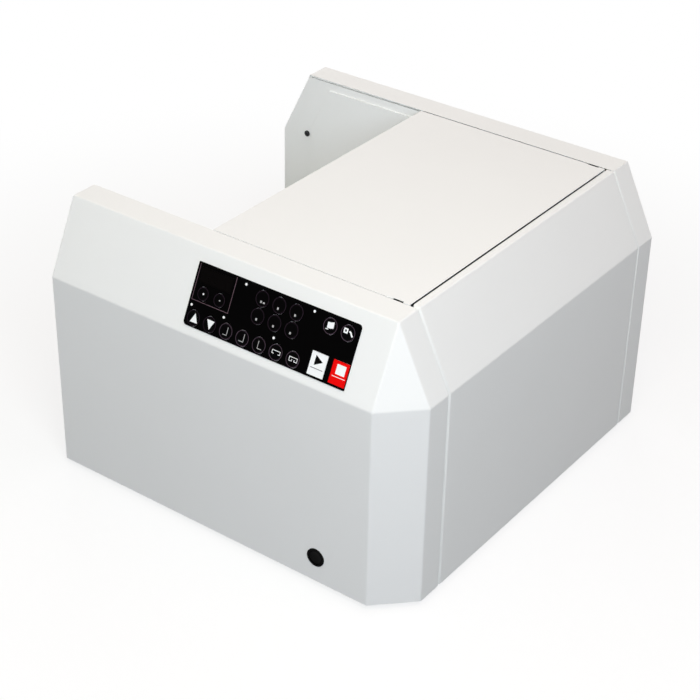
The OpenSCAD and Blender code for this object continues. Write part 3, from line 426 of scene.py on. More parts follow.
def round_edges(bm, edges, radius, steps=BEND_STEPS):
    """Rounds edges and returns the edges of the faces that this makes."""
    made = bmesh.ops.bevel(bm, geom=edges, offset=radius, offset_type="OFFSET", segments=steps,
                           profile=ROUND_PROFILE, affect="EDGES", clamp_overlap=True, loop_slide=True)
    return {edge for face in made["faces"] for edge in face.edges}


def round_block(bm, low, bend, seams=(), end=None):
    """Rounds the wide seams of a block, its bends, its end and its other seams, and opens the underside.

    A seam or an end is a test of an edge's middle and a radius; edges round the underside stay sharp."""
    def middle(edge):
        return (edge.verts[0].co + edge.verts[1].co) / 2

    def standing(edge):
        return any(v.co.z > low + TINY for v in edge.verts)

    def chosen(test):
        return [e for e in bm.edges if standing(e) and test(middle(e))]

    arcs = set()
    for test, radius in seams:
        if radius > bend:
            arcs |= round_edges(bm, chosen(test), radius)
    apart = [*seams, end] if end else seams
    bends = chosen(lambda p: not any(test(p) for test, _ in apart))
    round_edges(bm, [e for e in bends if e not in arcs], bend)
    if end:
        round_edges(bm, [e for e in chosen(end[0]) if e.calc_length() > SHORT_EDGE], end[1], INFEED_STEPS)
    for test, radius in seams:
        if radius <= bend:
            round_edges(bm, chosen(test), radius)
    under = [f for f in bm.faces if f.normal.z < FACING_DOWN]
    bmesh.ops.delete(bm, geom=under, context="FACES")


def cap_face(bm, normal, point):
    """The face that closes a cut."""
    normal = Vector(normal)
    caps = [f for f in bm.faces if f.normal.dot(normal) > SAME_WAY
            and abs((f.calc_center_median() - Vector(point)).dot(normal)) < NEAR]
    return max(caps, key=lambda f: f.calc_area())


def open_cap(bm, normal, point, keep):
    """Leaves only a flange of a closed cut: the part of its rim that keep() accepts."""
    cap = cap_face(bm, normal, point)
    rim = bmesh.ops.inset_region(bm, faces=[cap], thickness=SEAM_FLANGE, use_even_offset=True)["faces"]
    gone = [cap] + [f for f in rim if not keep(f.calc_center_median())]
    bmesh.ops.delete(bm, geom=gone, context="FACES")


def add_sheet(piece):
    """Gives an open outer surface the thickness of the sheet, inwards."""
    thickness = piece.modifiers.new("sheet", "SOLIDIFY")
    thickness.thickness = SHEET * MM
    thickness.offset = -1
    thickness.use_even_offset = True
    bake(piece)


def undercut(side):
    """A wedge under the edge of a cover's strip, which leaves a thin lip and a dark gap beside the lid."""
    bm = bmesh.new()
    edge = side * STRIP_Y
    beside = edge - side * LIP
    high, low = Z_TOP - LIP, Z_TOP - SHEET - LIP
    profile = [(beside, high), (edge, high), (edge + side * LIP_REACH, low), (beside, low)]
    add_bar(bm, profile, "x", LID_LOW.x, LID_HIGH.x)
    return bm


def side_cover(name, node, side):
    """One of the two side covers; side is -1 for the front and 1 for the rear."""
    bm = body_block()
    inner = Vector((0, side * STRIP_Y, 0))
    cut_block(bm, [(inner, (0, -side, 0))])
    seam, strip = (SEAM_EDGE, STRIP_EDGE) if side < 0 else (REAR_SEAM, CUT_EDGE)

    def on_cut(p):
        return abs(p.y - inner.y) < NEAR

    round_block(bm, Z_LOW, BEND, [(lambda p: on_cut(p) and p.x > SEAM_X, seam),
                                  (lambda p: on_cut(p) and p.x < SEAM_X, strip)],
                (lambda p: not on_cut(p) and p.x < CORNER_CUT - HALF_L + NEAR, INFEED_EDGE))
    open_cap(bm, (0, -side, 0), inner, lambda p: p.x > SEAM_X + 2 * BEND and p.z > Z_LOW + SEAM_FLANGE)
    piece = new_piece(name, bm, MATERIALS["cover_paint"], "machine")
    add_sheet(piece)
    notch = bmesh.new()
    y = sorted((side * FRAME_OUT, side * (STRIP_Y - SHEET)))
    add_box(notch, (-HALF_L - SHEET, y[0], Z_LOW - SHEET), (CORNER_CUT - HALF_L, y[1], FRAME_TOP))
    cut(piece, notch)
    cut(piece, undercut(side))
    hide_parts(node)
    return piece


def end_cover():
    """The cover of the end between the side covers, with its strip beside the lid."""
    bm = body_block()
    planes = [(Vector((0, -SEAM_Y, 0)), (0, -1, 0)), (Vector((0, SEAM_Y, 0)), (0, 1, 0)),
              (Vector((SEAM_X, 0, 0)), (-1, 0, 0))]
    cut_block(bm, planes)
    round_block(bm, Z_LOW, BEND, [(lambda p: abs(p.y + SEAM_Y) < NEAR, FRONT_SEAM),
                                  (lambda p: abs(p.y - SEAM_Y) < NEAR, SEAM_EDGE),
                                  (lambda p: abs(p.x - SEAM_X) < NEAR, CUT_EDGE)])
    sides = [cap_face(bm, normal, point) for point, normal in planes[:2]]
    bmesh.ops.delete(bm, geom=sides, context="FACES")
    open_cap(bm, planes[2][1], planes[2][0], lambda p: p.z > Z_TOP - SEAM_FLANGE)
    piece = new_piece("end_shell", bm, MATERIALS["cover_paint"], "machine")
    add_sheet(piece)
    smooth(piece)
    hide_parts("end_cover")


def end_line(depth):
    """The end's outline in X and Z at a depth under its surface, from the floor of the cover to the lid."""
    top = Z_TOP - depth
    x_top = HALF_L - (depth * SLOPE_LEN + (top - Z_BEVEL) * CORNER_CUT) / BEVEL_H
    knee = Z_BEVEL - depth * (SLOPE_LEN - BEVEL_H) / CORNER_CUT
    return [(HALF_L - depth, Z_LOW + SHEET), (HALF_L - depth, knee), (x_top, top), (SEAM_X + SHEET, top)]


def end_flanges():
    """The turned-in edges of the end cover behind its two seams."""
    bm = bmesh.new()
    profile = end_line(FRONT_SEAM + CUT_EDGE) + end_line(SHEET + SEAM_FLANGE)[::-1]
    for side in (-1, 1):
        add_bar(bm, profile, "y", side * (SEAM_Y - SHEET), side * SEAM_Y)
    new_piece("end_flanges", bm, MATERIALS["cover_paint"], "machine")


# Hinge holes and notches of the lid, its edges and its end
HINGE_X = 179.0
HINGE_Z = 308.0
HINGE_R = 3.05
HINGE_STEPS = 32
NOTCH_LEN = 12.5
NOTCH_IN = 2.1
NOTCH_DEEP = 2.6
NOTCH_REACH = 3 * NOTCH_IN
LID_EDGE = 0.3
END_RECESS = 2.4
REAR_GAP = 0.5
LID_END_LIFT = 6.0


def lid():
    """The lid with its hinge notches and pin holes, and a thin edge at the hinge end."""
    bm = bmesh.new()
    add_box(bm, LID_LOW, LID_HIGH - Vector((0, REAR_GAP, 0)))
    round_block(bm, LID_LOW.z, LID_EDGE)
    piece = new_piece("lid_shell", bm, MATERIALS["cover_paint"], "lid")
    add_sheet(piece)
    holes = bmesh.new()
    for side in (-1, 1):
        edge = side * LID_HIGH.y
        beside, inside, far = edge + side * SHEET, edge - side * NOTCH_IN, edge - side * NOTCH_REACH
        profile = [(beside, Z_TOP + SHEET), (inside, Z_TOP + SHEET), (inside, Z_TOP - LIP),
                   (far, Z_TOP - NOTCH_DEEP), (beside, Z_TOP - NOTCH_DEEP)]
        add_bar(holes, profile, "x", HINGE_X - NOTCH_LEN / 2, HINGE_X + NOTCH_LEN / 2)
        add_cylinder(holes, (HINGE_X, edge, HINGE_Z), (0, 1, 0), HINGE_R, THROUGH, HINGE_STEPS)
    add_box(holes, (LID_HIGH.x - 2 * SHEET, LID_LOW.y + SHEET, LID_LOW.z - SHEET),
            (LID_HIGH.x + SHEET, LID_HIGH.y - SHEET, LID_LOW.z + LID_END_LIFT))
    cut(piece, holes)
    recess = bmesh.new()
    add_box(recess, (LID_HIGH.x - END_RECESS, LID_LOW.y + SHEET, LID_LOW.z - SHEET),
            (LID_HIGH.x + SHEET, LID_HIGH.y - SHEET, Z_TOP - LIP))
    cut(piece, recess)
    smooth(piece)
    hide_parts("lid")


# Places on the front bevel: along the machine, up the slope, and outwards

SLOPE_UP = Vector((0, math.sin(TILT), math.cos(TILT)))
SLOPE_OUT = Vector((0, -math.cos(TILT), math.sin(TILT)))


def on_bevel(x, up, out=0.0):
    """A point on the front bevel, or outside it."""
    return Vector((x, -HALF_D, Z_BEVEL)) + SLOPE_UP * up + SLOPE_OUT * out


# Holes of the covers: power button and inlet in X and Z, display window along and up the slope
STEM_HOLE_R = 2.6
STEM_STEPS = 20
POWER_AT = (140.0, 37.7)
POWER_HOLE_R = 9.5
POWER_STEPS = 48
WINDOW_AT = (-23.1, 54.0)
WINDOW = (40.0, 15.0)
INLET_AT = (175.0, 48.0)
INLET_HALF = (15.0, 11.5)

# Places of the keys
PITCH = 20.4
MODE_KEYS = 5
SIZES_IN_ROW = 3
COLUMN_0 = -17.1
MODE_COLUMN = COLUMN_0 + 2 * PITCH
SIZE_COLUMN = COLUMN_0 + 3.5 * PITCH
DISPLAY_COLUMN = -13.6
OPTION_COLUMN = 134.8
START_COLUMN, STOP_COLUMN = 133.2, 158.0
ROW_LOW, ROW_START, ROW_MID, ROW_HIGH = 18.2, 22.7, 43.7, 61.2
KEYS = {"key_up": (COLUMN_0, ROW_LOW), "key_down": (COLUMN_0 + PITCH, ROW_LOW),
        "key_display_1": (DISPLAY_COLUMN, ROW_MID), "key_display_2": (DISPLAY_COLUMN + PITCH, ROW_MID),
        "key_option_1": (OPTION_COLUMN, ROW_HIGH), "key_option_2": (OPTION_COLUMN + PITCH, ROW_HIGH),
        "key_start": (START_COLUMN, ROW_START), "key_stop": (STOP_COLUMN, ROW_START)}
for i in range(MODE_KEYS):
    KEYS[f"key_mode_{i + 1}"] = (MODE_COLUMN + i * PITCH, ROW_LOW)
for i in range(SIZES_IN_ROW):
    KEYS[f"key_size_{i + 1}"] = (SIZE_COLUMN + i * PITCH, ROW_HIGH)
for i in range(SIZES_IN_ROW):
    KEYS[f"key_size_{i + 1 + SIZES_IN_ROW}"] = (SIZE_COLUMN + i * PITCH, ROW_MID)


def front_cover():
    """The front cover with its holes for the keys' stems, the display and the power button."""
    piece = side_cover("front_shell", "front_cover", -1)
    holes = bmesh.new()
    for x, up in KEYS.values():
        add_cylinder(holes, on_bevel(x, up), SLOPE_OUT, STEM_HOLE_R, THROUGH, STEM_STEPS)
    middle = on_bevel(WINDOW_AT[0] + WINDOW[0] / 2, WINDOW_AT[1] + WINDOW[1] / 2)
    turn = Matrix((Vector((1, 0, 0)), SLOPE_UP, SLOPE_OUT)).transposed().to_4x4()
    bmesh.ops.create_cube(holes, size=1, matrix=Matrix.Translation(middle) @ turn
                          @ Matrix.Diagonal((*WINDOW, THROUGH, 1)))
    power = (POWER_AT[0], -HALF_D, POWER_AT[1])
    add_cylinder(holes, power, (0, 1, 0), POWER_HOLE_R, THROUGH, POWER_STEPS)
    cut(piece, holes)
    smooth(piece)


def rear_cover():
    """The rear cover with its hole for the mains inlet."""
    piece = side_cover("rear_shell", "rear_cover", 1)
    hole = bmesh.new()
    add_box(hole, (INLET_AT[0] - INLET_HALF[0], HALF_D - 2 * SHEET, INLET_AT[1] - INLET_HALF[1]),
            (INLET_AT[0] + INLET_HALF[0], HALF_D + SHEET, INLET_AT[1] + INLET_HALF[1]))
    cut(piece, hole)
    smooth(piece)


# Keypad print: thin films on the keys and the fascia

KEY_TOP = 1.32
FASCIA_TOP = 1.2
FILM = 0.03
SUNK = 0.03
DOT_STEPS = 24
RING_STEPS = 64
MITRE_LIMIT = 0.35


def add_prism(bm, outline, top):
    """A thin film with this outline on the bevel, sunk a little into what carries it."""
    low = [bm.verts.new(on_bevel(x, u, top - SUNK)) for x, u in outline]
    high = [bm.verts.new(on_bevel(x, u, top + FILM)) for x, u in outline]
    join_rings(bm, [low, high])


def add_ring(bm, outer, inner, top):
    """A film between two outlines with as many points."""
    low, high = top - SUNK, top + FILM
    loops = []
    for outline, out in ((outer, low), (outer, high), (inner, high), (inner, low)):
        loops.append([bm.verts.new(on_bevel(x, u, out)) for x, u in outline])
    join_rings(bm, [*loops, loops[0]], capped=False)
    bmesh.ops.recalc_face_normals(bm, faces=bm.faces[:])


def moved(outline, centre):
    """An outline drawn round the origin, put round a centre."""
    return [(x + centre[0], u + centre[1]) for x, u in outline]


def rectangle(low, high):
    return [low, (high[0], low[1]), high, (low[0], high[1])]


def disc(radius, steps=DOT_STEPS):
    angles = [2 * math.pi * i / steps for i in range(steps)]
    return [(radius * math.cos(a), radius * math.sin(a)) for a in angles]


def stroke(points, width):
    """The outline of a line of this width along the points, mitred at its corners."""
    half = width / 2
    left, right = [], []
    count = len(points)
    for i, point in enumerate(points):
        here = Vector(point)
        before = (here - Vector(points[i - 1])).normalized() if i else None
        after = (Vector(points[i + 1]) - here).normalized() if i + 1 < count else None
        before, after = before or after, after or before
        across = Vector((-(before + after).y, (before + after).x)).normalized()
        reach = half / max(MITRE_LIMIT, across.dot(Vector((-before.y, before.x))))
        left.append(tuple(here + across * reach))
        right.append(tuple(here - across * reach))
    return left + right[::-1]


def printed(name, outlines, centre, top, material, body):
    """A piece of print made of outlines placed round a centre."""
    bm = bmesh.new()
    for outline in outlines:
        add_prism(bm, moved(outline, centre), top)
    bmesh.ops.recalc_face_normals(bm, faces=bm.faces[:])
    new_piece(name, bm, material, body)


# Signs of the keys, drawn round the middle of each
STROKE = 0.6
DASH = 0.8
ARROW = 1.7
ICONS = {
    "key_up": [[(-3.8, -4.4), (5.3, -4.2), (0.7, 5.2)]],
    "key_down": [[(-4.6, 4.3), (4.6, 4.3), (0.1, -5.1)]],
    "key_mode_1": [stroke([(1.3, 4.5), (1.3, -3.5), (-3.4, -3.5)], STROKE)],
    "key_mode_2": [stroke([(1.3, 4.5), (1.3, -3.3), (-4.0, -3.3)], STROKE)],
    "key_mode_3": [stroke([(-1.6, 4.2), (-1.6, -3.4), (3.4, -3.4)], STROKE)],
    "key_mode_4": [stroke([(-2.4, -1.5), (-4.6, -1.5), (-4.6, 1.7), (4.6, 1.7), (4.6, -1.5), (2.4, -1.5)],
                          STROKE)],
    "key_mode_5": [stroke([(-1.4, 0.1), (-1.4, -1.8), (-4.6, -1.8), (-4.6, 2.0), (4.6, 2.0), (4.6, -1.8),
                           (1.4, -1.8), (1.4, 0.1)], STROKE)],
    "key_display_1": [disc(0.95)],
    "key_display_2": [disc(0.75)],
    "key_option_1": [[(-4.0, 3.3), (-0.6, 3.6), (3.0, 4.8), (3.5, -1.2), (0.2, -2.2), (-3.8, -2.4)],
                     stroke([(-5.0, -3.6), (-1.8, -3.4)], DASH)],
    "key_option_2": [stroke([(0.5, 2.2), (2.2, 1.4), (3.4, -0.4), (5.0, -2.2)], ARROW)],
}
for i in range(2 * SIZES_IN_ROW):
    ICONS[f"key_size_{i + 1}"] = [rectangle((-2.1, -4.3), (-0.3, -2.1))]
ICONS["key_size_1"].append(rectangle((1.0, -4.1), (3.4, -2.7)))
START_SIGN = [(-4.0, 8.6), (-4.0, -1.5), (5.0, 3.5)]
START_LINE = rectangle((-7.2, -4.4), (7.0, -3.7))
STOP_SIGN = rectangle((-4.1, -1.3), (6.2, 8.4))
STOP_LINE = rectangle((-6.7, -4.1), (7.8, -3.5))
PALE_SIGNS = ("key_size", "key_mode_1", "key_mode_2", "key_mode_3", "key_display_2")
BRIGHT_RINGS = ("key_mode", "key_option")
SIGN_RIGHT = 0.6
RING_OUTER = 7.75
RING_INNER = 7.2
SMALL_RING = 1.2
SQUARE_OUTER = rectangle((-5.8, -0.8), (-1.1, 4.1))
SQUARE_INNER = rectangle((-4.4, 0.6), (-2.5, 2.7))


def sign_place(key):
    """The middle of a round key's sign, a little to the right of the key's."""
    x, up = KEYS[key]
    return x + SIGN_RIGHT, up


def ringed_key(key):
    """The ring and the sign of a round key."""
    shrink = SMALL_RING if key.startswith("key_display") else 0
    outer = moved(disc(RING_OUTER - shrink, RING_STEPS), KEYS[key])
    inner = moved(disc(RING_INNER - shrink, RING_STEPS), KEYS[key])
    bm = bmesh.new()
    add_ring(bm, outer, inner, KEY_TOP)
    ring_ink = INK_RING if key.startswith(BRIGHT_RINGS) else INK_FAINT
    new_piece(f"{key}_ring", bm, ring_ink, key)
    sign_ink = INK_PALE if key.startswith(PALE_SIGNS) else WHITE
    printed(f"{key}_sign", ICONS[key], sign_place(key), KEY_TOP, sign_ink, key)


def key_print():
    """Rings and signs on the keys; each piece moves with its key."""
    for key in KEYS:
        if key in ICONS:
            ringed_key(key)
    bm = bmesh.new()
    centre = sign_place("key_option_2")
    add_ring(bm, moved(SQUARE_OUTER, centre), moved(SQUARE_INNER, centre), KEY_TOP)
    new_piece("key_option_2_square", bm, WHITE, "key_option_2")
    start, stop = KEYS["key_start"], KEYS["key_stop"]
    printed("key_start_sign", [START_SIGN], start, KEY_TOP, INK_BLACK, "key_start")
    printed("key_start_line", [START_LINE], start, KEY_TOP, INK_GREY, "key_start")
    printed("key_stop_sign", [STOP_SIGN, STOP_LINE], stop, KEY_TOP, WHITE, "key_stop")


STEP_MARKS = [(32.0, 68.4), (-23.4, 29.9), (17.2, 30.2), (78.4, 30.3), (114.0, 68.7)]
MARK_R = 1.35
DISPLAY_LINE = [(-25.1, 71.6), (-25.1, 35.2), (20.1, 35.2), (20.1, 71.6)]
DISPLAY_STROKE = 0.55


def fascia_print():
    """The line round the display and the dots beside the groups of keys."""
    line = stroke(DISPLAY_LINE, DISPLAY_STROKE)
    printed("display_line", [line], (0, 0), FASCIA_TOP, INK_DIM, "machine")
    marks = [moved(disc(MARK_R), mark) for mark in STEP_MARKS]
    printed("step_marks", marks, (0, 0), FASCIA_TOP, WHITE, "machine")


# Small fasteners, threads and metal details

UP, DOWN = (0, 0, 1), (0, 0, -1)
SCREW_STEPS = 24

# Radius and height of the rings of a screw's head, and its socket, for a head of radius 1
SCREW_RINGS = [(1.0, -0.02), (1.0, 0.18), (0.93, 0.36), (0.76, 0.5), (0.58, 0.55)]
SOCKET = 0.4
SOCKET_FLOOR = 0.2


def add_screw(bm, centre, axis, radius):
    """A button head with a hexagon socket; axis points away from what it is screwed into."""
    turn = Vector(UP).rotation_difference(Vector(axis)).to_matrix()
    angles = [2 * math.pi * i / SCREW_STEPS for i in range(SCREW_STEPS)]
    sixth = math.pi / 3
    hexagon = [SOCKET / math.cos(a % sixth - sixth / 2) for a in angles]
    shapes = [([r] * SCREW_STEPS, z) for r, z in SCREW_RINGS]
    shapes += [(hexagon, SCREW_RINGS[-1][1]), (hexagon, SOCKET_FLOOR)]
    rings = []
    for sizes, z in shapes:
        points = [Vector((r * math.cos(a), r * math.sin(a), z)) for r, a in zip(sizes, angles)]
        rings.append([bm.verts.new(Vector(centre) + turn @ point * radius) for point in points])
    join_rings(bm, rings)


# Places and radii of the screws
HEAD_Y = 60.0
BEAM_SCREW_Y = 13.0
BEAM_SCREW_R = 4.0
TABLE_SCREW_Y = 177.2
FEED_SCREWS = (-230.0, -140.0, -62.0)
FEED_SCREW_R = 2.3
INNER_SCREWS = (4.0, 112.0, 214.0)
INNER_SCREW_R = 2.6
FOOT_IN = 50.0
FOOT_HOLLOW = 4.0
FOOT_SCREW_R = 4.2
BASE_SCREWS = [(110, 236), (-110, 236), (-40, 236), (228, 90), (-228, 90)]
BASE_SCREW_R = 3.2


def screws():
    """Screws of the beam, the tables, the base and the feet."""
    inner, under = bmesh.new(), bmesh.new()
    beam_low, beam_high = node_box("stapler_beam")
    beam_x = (beam_low.x + beam_high.x) / 2
    table = node_box("feed_table")[1].z
    foot_x, foot_y = HALF_L - FOOT_IN, HALF_D - FOOT_IN
    for side in (-1, 1):
        for head in (-HEAD_Y, HEAD_Y):
            add_screw(inner, (beam_x, head + side * BEAM_SCREW_Y, beam_high.z), UP, BEAM_SCREW_R)
        for x in FEED_SCREWS:
            add_screw(inner, (x, side * TABLE_SCREW_Y, table), UP, FEED_SCREW_R)
        for x in INNER_SCREWS:
            add_screw(inner, (x, side * TABLE_SCREW_Y, table), UP, INNER_SCREW_R)
        for x in (-foot_x, foot_x):
            add_screw(under, (x, side * foot_y, FOOT_HOLLOW), DOWN, FOOT_SCREW_R)
        for x, y in BASE_SCREWS:
            add_screw(under, (x, side * y, Z_LOW), DOWN, BASE_SCREW_R)
    new_piece("inner_screws", inner, MATERIALS["steel"], "machine")
    new_piece("base_screws", under, MATERIALS["steel"], "machine")


# Plates of the stapler heads, with points in X and Z, and ribs across the grip's slope
HEAD_HALF = 20.0
HEAD_PLATE = [(12, 178), (90, 178), (90, 254), (35, 254), (12, 212)]
PLATE_T = 0.9
PLATE_SCREWS = [(20, 186), (83, 186), (83, 246), (42, 246)]
PLATE_SCREW_R = 2.6
GRIP_LOW, GRIP_HIGH = Vector((4, 0, 214)), Vector((30, 0, 262))
RIB_UP, RIB_STEP, RIB_COUNT = 10.0, 6.0, 5
RIB_HALF, RIB_W, RIB_H = 14.0, 2.4, 1.2
RIB_EDGE, RIB_EDGE_STEPS = 0.4, 2


def head_details():
    """Side plates with their screws, and grip ribs on the sloping front, of both stapler heads."""
    plates, fixings, ribs = bmesh.new(), bmesh.new(), bmesh.new()
    slope = (GRIP_HIGH - GRIP_LOW).normalized()
    out = Vector((-slope.z, 0, slope.x))
    turn = Matrix((slope, Vector((0, 1, 0)), out)).transposed().to_4x4()
    size = Matrix.Diagonal((RIB_W, 2 * RIB_HALF, 2 * RIB_H, 1))
    for head in (-HEAD_Y, HEAD_Y):
        for side in (-1, 1):
            face = head + side * HEAD_HALF
            add_bar(plates, HEAD_PLATE, "y", face - side * PLATE_T, face + side * PLATE_T)
            for x, z in PLATE_SCREWS:
                add_screw(fixings, (x, face + side * PLATE_T, z), (0, side, 0), PLATE_SCREW_R)
        for i in range(RIB_COUNT):
            middle = GRIP_LOW + slope * (RIB_UP + i * RIB_STEP) + Vector((0, head, 0))
            bmesh.ops.create_cube(ribs, size=1, matrix=Matrix.Translation(middle) @ turn @ size)
    round_edges(ribs, ribs.edges[:], RIB_EDGE, RIB_EDGE_STEPS)
    new_piece("head_plates", plates, MATERIALS["zinc"], "machine")
    new_piece("head_screws", fixings, MATERIALS["steel"], "machine")
    new_piece("head_ribs", ribs, MATERIALS["head_grey"], "machine")


# Contacts of the inlet: places round its middle, and depths from the rear face
INLET_PINS = [(-7, -2), (0, 2), (7, -2)]
PIN_BACK, PIN_TIP = 22.0, 7.9
PIN_W, PIN_H = 2.2, 5.2
PIN_TAPER = 0.7


def inlet_pins():
    """Bright contacts over the three blades of the mains inlet, tapered at their tips."""
    bm = bmesh.new()
    tip = HALF_D - PIN_TIP
    sections = ((HALF_D - PIN_BACK, 0), (tip - 2 * PIN_TAPER, 0), (tip, PIN_TAPER))
    for centre in moved(INLET_PINS, INLET_AT):
        rings = []
        for y, shrink in sections:
            w, h = PIN_W / 2 - shrink, PIN_H / 2 - shrink
            corners = moved(rectangle((-w, -h), (w, h)), centre)
            rings.append([bm.verts.new((x, y, z)) for x, z in corners])
        join_rings(bm, rings)
    bmesh.ops.recalc_face_normals(bm, faces=bm.faces[:])
    new_piece("inlet_contacts", bm, MATERIALS["steel"], "machine")


# Thread of the lead screw; its crest and flank are shares of half its pitch
LEAD, STARTS, THREAD_DEPTH = 8.0, 4, 0.8
THREAD_STEP, THREAD_SIDES = 0.5, 28
PLAIN_START, PLAIN_END = 16.0, 5.0
CREST, FLANK = 0.25, 0.5


def thread_cut(x, i):
    """How deep the thread is at a place along the screw, on one of its sides."""
    phase = STARTS * (x / LEAD - i / THREAD_SIDES) % 1
    return THREAD_DEPTH * min(1, max(0, (abs(2 * phase - 1) - CREST) / FLANK))


def stop_thread():
    """The paper stop's lead screw, with four starts, and plain where it runs in its coupling and bearing."""
    low, high = node_box("stop_screw")
    middle = (low.z + high.z) / 2
    radius = (high.z - low.z) / 2
    bm = bmesh.new()
    rings = []
    for k in range(round((high.x - low.x) / THREAD_STEP) + 1):
        x = low.x + k * THREAD_STEP
        threaded = low.x + PLAIN_START < x < high.x - PLAIN_END
        ring = []
        for i in range(THREAD_SIDES):
            a = 2 * math.pi * i / THREAD_SIDES
            r = radius - thread_cut(x, i) if threaded else radius
            ring.append(bm.verts.new((x, r * math.cos(a), middle + r * math.sin(a))))
        rings.append(ring)
    join_rings(bm, rings)
    bmesh.ops.recalc_face_normals(bm, faces=bm.faces[:])
    piece = new_piece("stop_thread", bm, MATERIALS["steel"], "stop_screw")
    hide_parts("stop_screw")


# Looks of the CAD nodes

TURNED = {"left_fold_roller": ROLLER, "right_fold_roller": ROLLER, "motor_gear": GEAR_SHAFT}
WELD = 1e-5
EDGE_STEPS = 2
EDGE_ANGLE = 40

# Radii of the edges of sheet metal and blocks that can be seen
EDGES = {"bay_liners": 0.3, "infeed_panel": 0.7, "side_frames": 0.5, "feed_table": 0.5,
         "inner_table": 0.5, "delivery_chute": 0.5, "front_guide": 0.3, "rear_guide": 0.3,
         "stapler_beam": 0.8, "stapler_heads": 1.5, "clincher_bar": 0.6, "front_magazine": 0.4,
         "rear_magazine": 0.4, "knife_carrier": 0.5, "paper_stop": 0.6, "power_supply": 0.8,
         "stepper_motors": 0.8, "main_motor": 1.0, "knife_motor": 0.8, "base_plate": 0.4}


def paint_nodes():
    """Gives each node the material of its slot, and the turned ones their bands."""
    slots = {part["node"]: part["material_slot"] for part in frame["record"]["subparts"]}
    for name, node in frame["nodes"].items():
        node.data.materials.clear()
        node.data.materials.append(TURNED.get(name, MATERIALS[slots[name]]))


def round_node(name, width):
    """Rounds the sharp edges of a node, after joining its doubled points."""
    node = frame["nodes"][name]
    weld = node.modifiers.new("weld", "WELD")
    weld.merge_threshold = WELD
    edge = node.modifiers.new("edge", "BEVEL")
    edge.width = width * MM
    edge.segments = EDGE_STEPS
    edge.limit_method = "ANGLE"
    edge.angle_limit = math.radians(EDGE_ANGLE)
    edge.harden_normals = True


# Floor, light and camera, with lengths in metres

FLOOR_SIZE = 12.0
FLOOR_CELLS = 8
FLOOR_BOUNCE = (0.11, 0.11, 0.115, 1)
FLOOR_PAPER = (0.95, 0.95, 0.95, 1)
SHADOW_NEAR = 0.42
SHADOW_FAR = 0.95
SHADOW_SHARE = 0.3
WORLD_LEVEL = 0.3
AIM = Vector((0, 0, 0.16))


def seen_rays(owner):
    """1 for rays that show the background: from the camera, in gloss and through glass."""
    path = add_node(owner, "ShaderNodeLightPath")
    value = path.outputs["Is Camera Ray"]
    for name in ("Is Glossy Ray", "Is Transmission Ray"):
        larger = add_node(owner, "ShaderNodeMath", operation="MAXIMUM")
        link(owner, value, larger.inputs[0])
        link(owner, path.outputs[name], larger.inputs[1])
        value = larger.outputs[0]
    return value


def mix(material, share, first, second):
    """Two shaders, with this share of the second."""
    node = add_node(material, "ShaderNodeMixShader")
    link(material, share, node.inputs["Fac"])
    link(material, first, node.inputs[1])
    link(material, second, node.inputs[2])
    return node.outputs["Shader"]


def floor_material():
    """White paper that fades to plain white away from the object's shadow."""
    material = bpy.data.materials.new("floor_paper")
    material.use_nodes = True
    material.node_tree.nodes.clear()
    output = add_node(material, "ShaderNodeOutputMaterial")
    paper = add_node(material, "ShaderNodeBsdfDiffuse", Color=FLOOR_PAPER).outputs["BSDF"]
    bounce = add_node(material, "ShaderNodeBsdfDiffuse", Color=FLOOR_BOUNCE).outputs["BSDF"]
    white = add_node(material, "ShaderNodeEmission").outputs["Emission"]
    distance = add_node(material, "ShaderNodeVectorMath", operation="LENGTH")
    link(material, place(material), distance.inputs[0])
    share = spread(material, distance.outputs["Value"], SHADOW_SHARE, 0, SHADOW_NEAR, SHADOW_FAR)
    share.node.interpolation_type = "SMOOTHSTEP"
    shown = mix(material, share, white, paper)
    link(material, mix(material, seen_rays(material), bounce, shown), output.inputs["Surface"])
    return material


def add_floor():
    bm = bmesh.new()
    bmesh.ops.create_grid(bm, x_segments=FLOOR_CELLS, y_segments=FLOOR_CELLS, size=FLOOR_SIZE / 2)
    mesh = bpy.data.meshes.new("floor")
    bm.to_mesh(mesh)
    bm.free()
    floor = bpy.data.objects.new("floor", mesh)
    bpy.context.scene.collection.objects.link(floor)
    mesh.materials.append(floor_material())


def add_world():
    """A white background, which lights the object less than it shows."""
    world = bpy.data.worlds.new("studio")
    bpy.context.scene.world = world
    world.use_nodes = True
    background = world.node_tree.nodes["Background"]
    background.inputs["Color"].default_value = (1, 1, 1, 1)
    level = spread(world, seen_rays(world), WORLD_LEVEL, 1, 0, 1)
    link(world, level, background.inputs["Strength"])


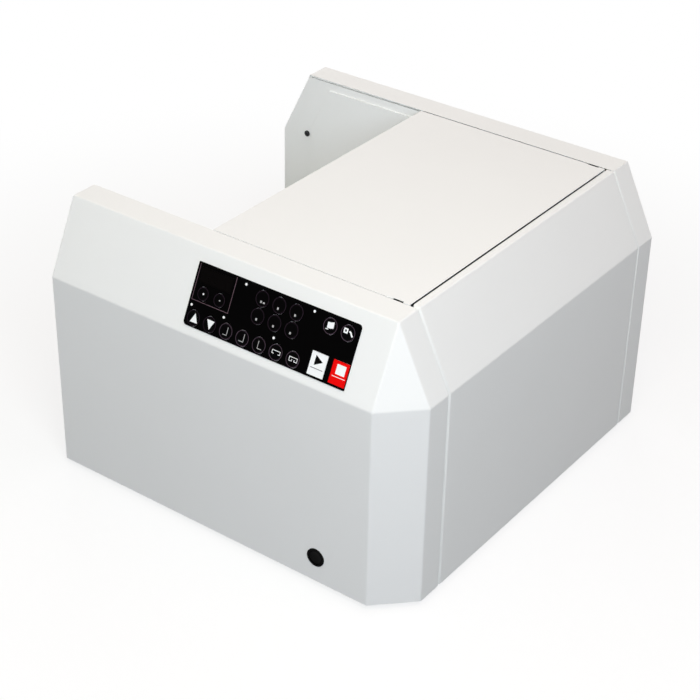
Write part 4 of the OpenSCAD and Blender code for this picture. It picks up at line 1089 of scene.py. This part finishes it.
# Name, direction from the object, distance and disc size in metres, power in watts, colour
LIGHTS = [
    ("key_light", (0.44, -0.4, 0.4), 2.3, 1.3, 23.5, (0.76, 0.905, 1.0)),
    ("high_light", (0.35, -0.5, 0.8), 2.3, 1.2, 16.7, (1.0, 0.89, 0.75)),
    ("front_light", (-0.35, -0.9, 0.65), 2.6, 1.6, 5.5, (0.82, 1.0, 0.76)),
    ("low_light", (0.15, -0.95, 0.25), 2.6, 1.4, 7.6, (0.88, 0.78, 1.0)),
    ("right_light", (0.7, 0.1, 0.7), 2.3, 1.4, 5.3, (1.0, 0.76, 0.74)),
    ("top_light", (-0.05, 0.1, 1.0), 2.4, 1.8, 3.0, (1.0, 0.45, 0.28)),
    ("rear_light", (-0.7, 0.75, 0.12), 2.6, 1.6, 33.0, (1.0, 1.0, 1.0)),
]


def add_light(name, direction, distance, size, power, colour):
    lamp = bpy.data.lights.new(name, "AREA")
    lamp.shape = "DISK"
    lamp.size = size
    lamp.energy = power
    lamp.color = colour
    light = bpy.data.objects.new(name, lamp)
    bpy.context.scene.collection.objects.link(light)
    away = Vector(direction)
    light.location = AIM + away.normalized() * distance
    light.rotation_euler = away.to_track_quat("Z", "Y").to_euler()


# The photo's camera: its place in millimetres, its angles in degrees and its lens in millimetres
EYE = Vector((976.196, -1353.045, 1143.812))
AZIMUTH = 35.9429
ELEVATION = 31.9756
ROLL = 1.2138
LENS = 91.5876
SENSOR = 36.0


def add_camera():
    data = bpy.data.cameras.new("camera")
    data.sensor_width = SENSOR
    data.lens = LENS
    view = bpy.data.objects.new("camera", data)
    bpy.context.scene.collection.objects.link(view)
    matrix = Matrix.Translation(EYE * MM)
    for angle, axis in ((AZIMUTH, "Z"), (90 - ELEVATION, "X"), (ROLL, "Z")):
        matrix = matrix @ Matrix.Rotation(math.radians(angle), 4, axis)
    view.matrix_world = matrix
    bpy.context.scene.camera = view


front_cover()
rear_cover()
end_cover()
end_flanges()
lid()
key_print()
fascia_print()
screws()
head_details()
inlet_pins()
stop_thread()
paint_nodes()
for name, width in EDGES.items():
    round_node(name, width)
add_floor()
add_world()
for light in LIGHTS:
    add_light(*light)
add_camera()
bpy.context.scene.view_settings.view_transform = "Standard"
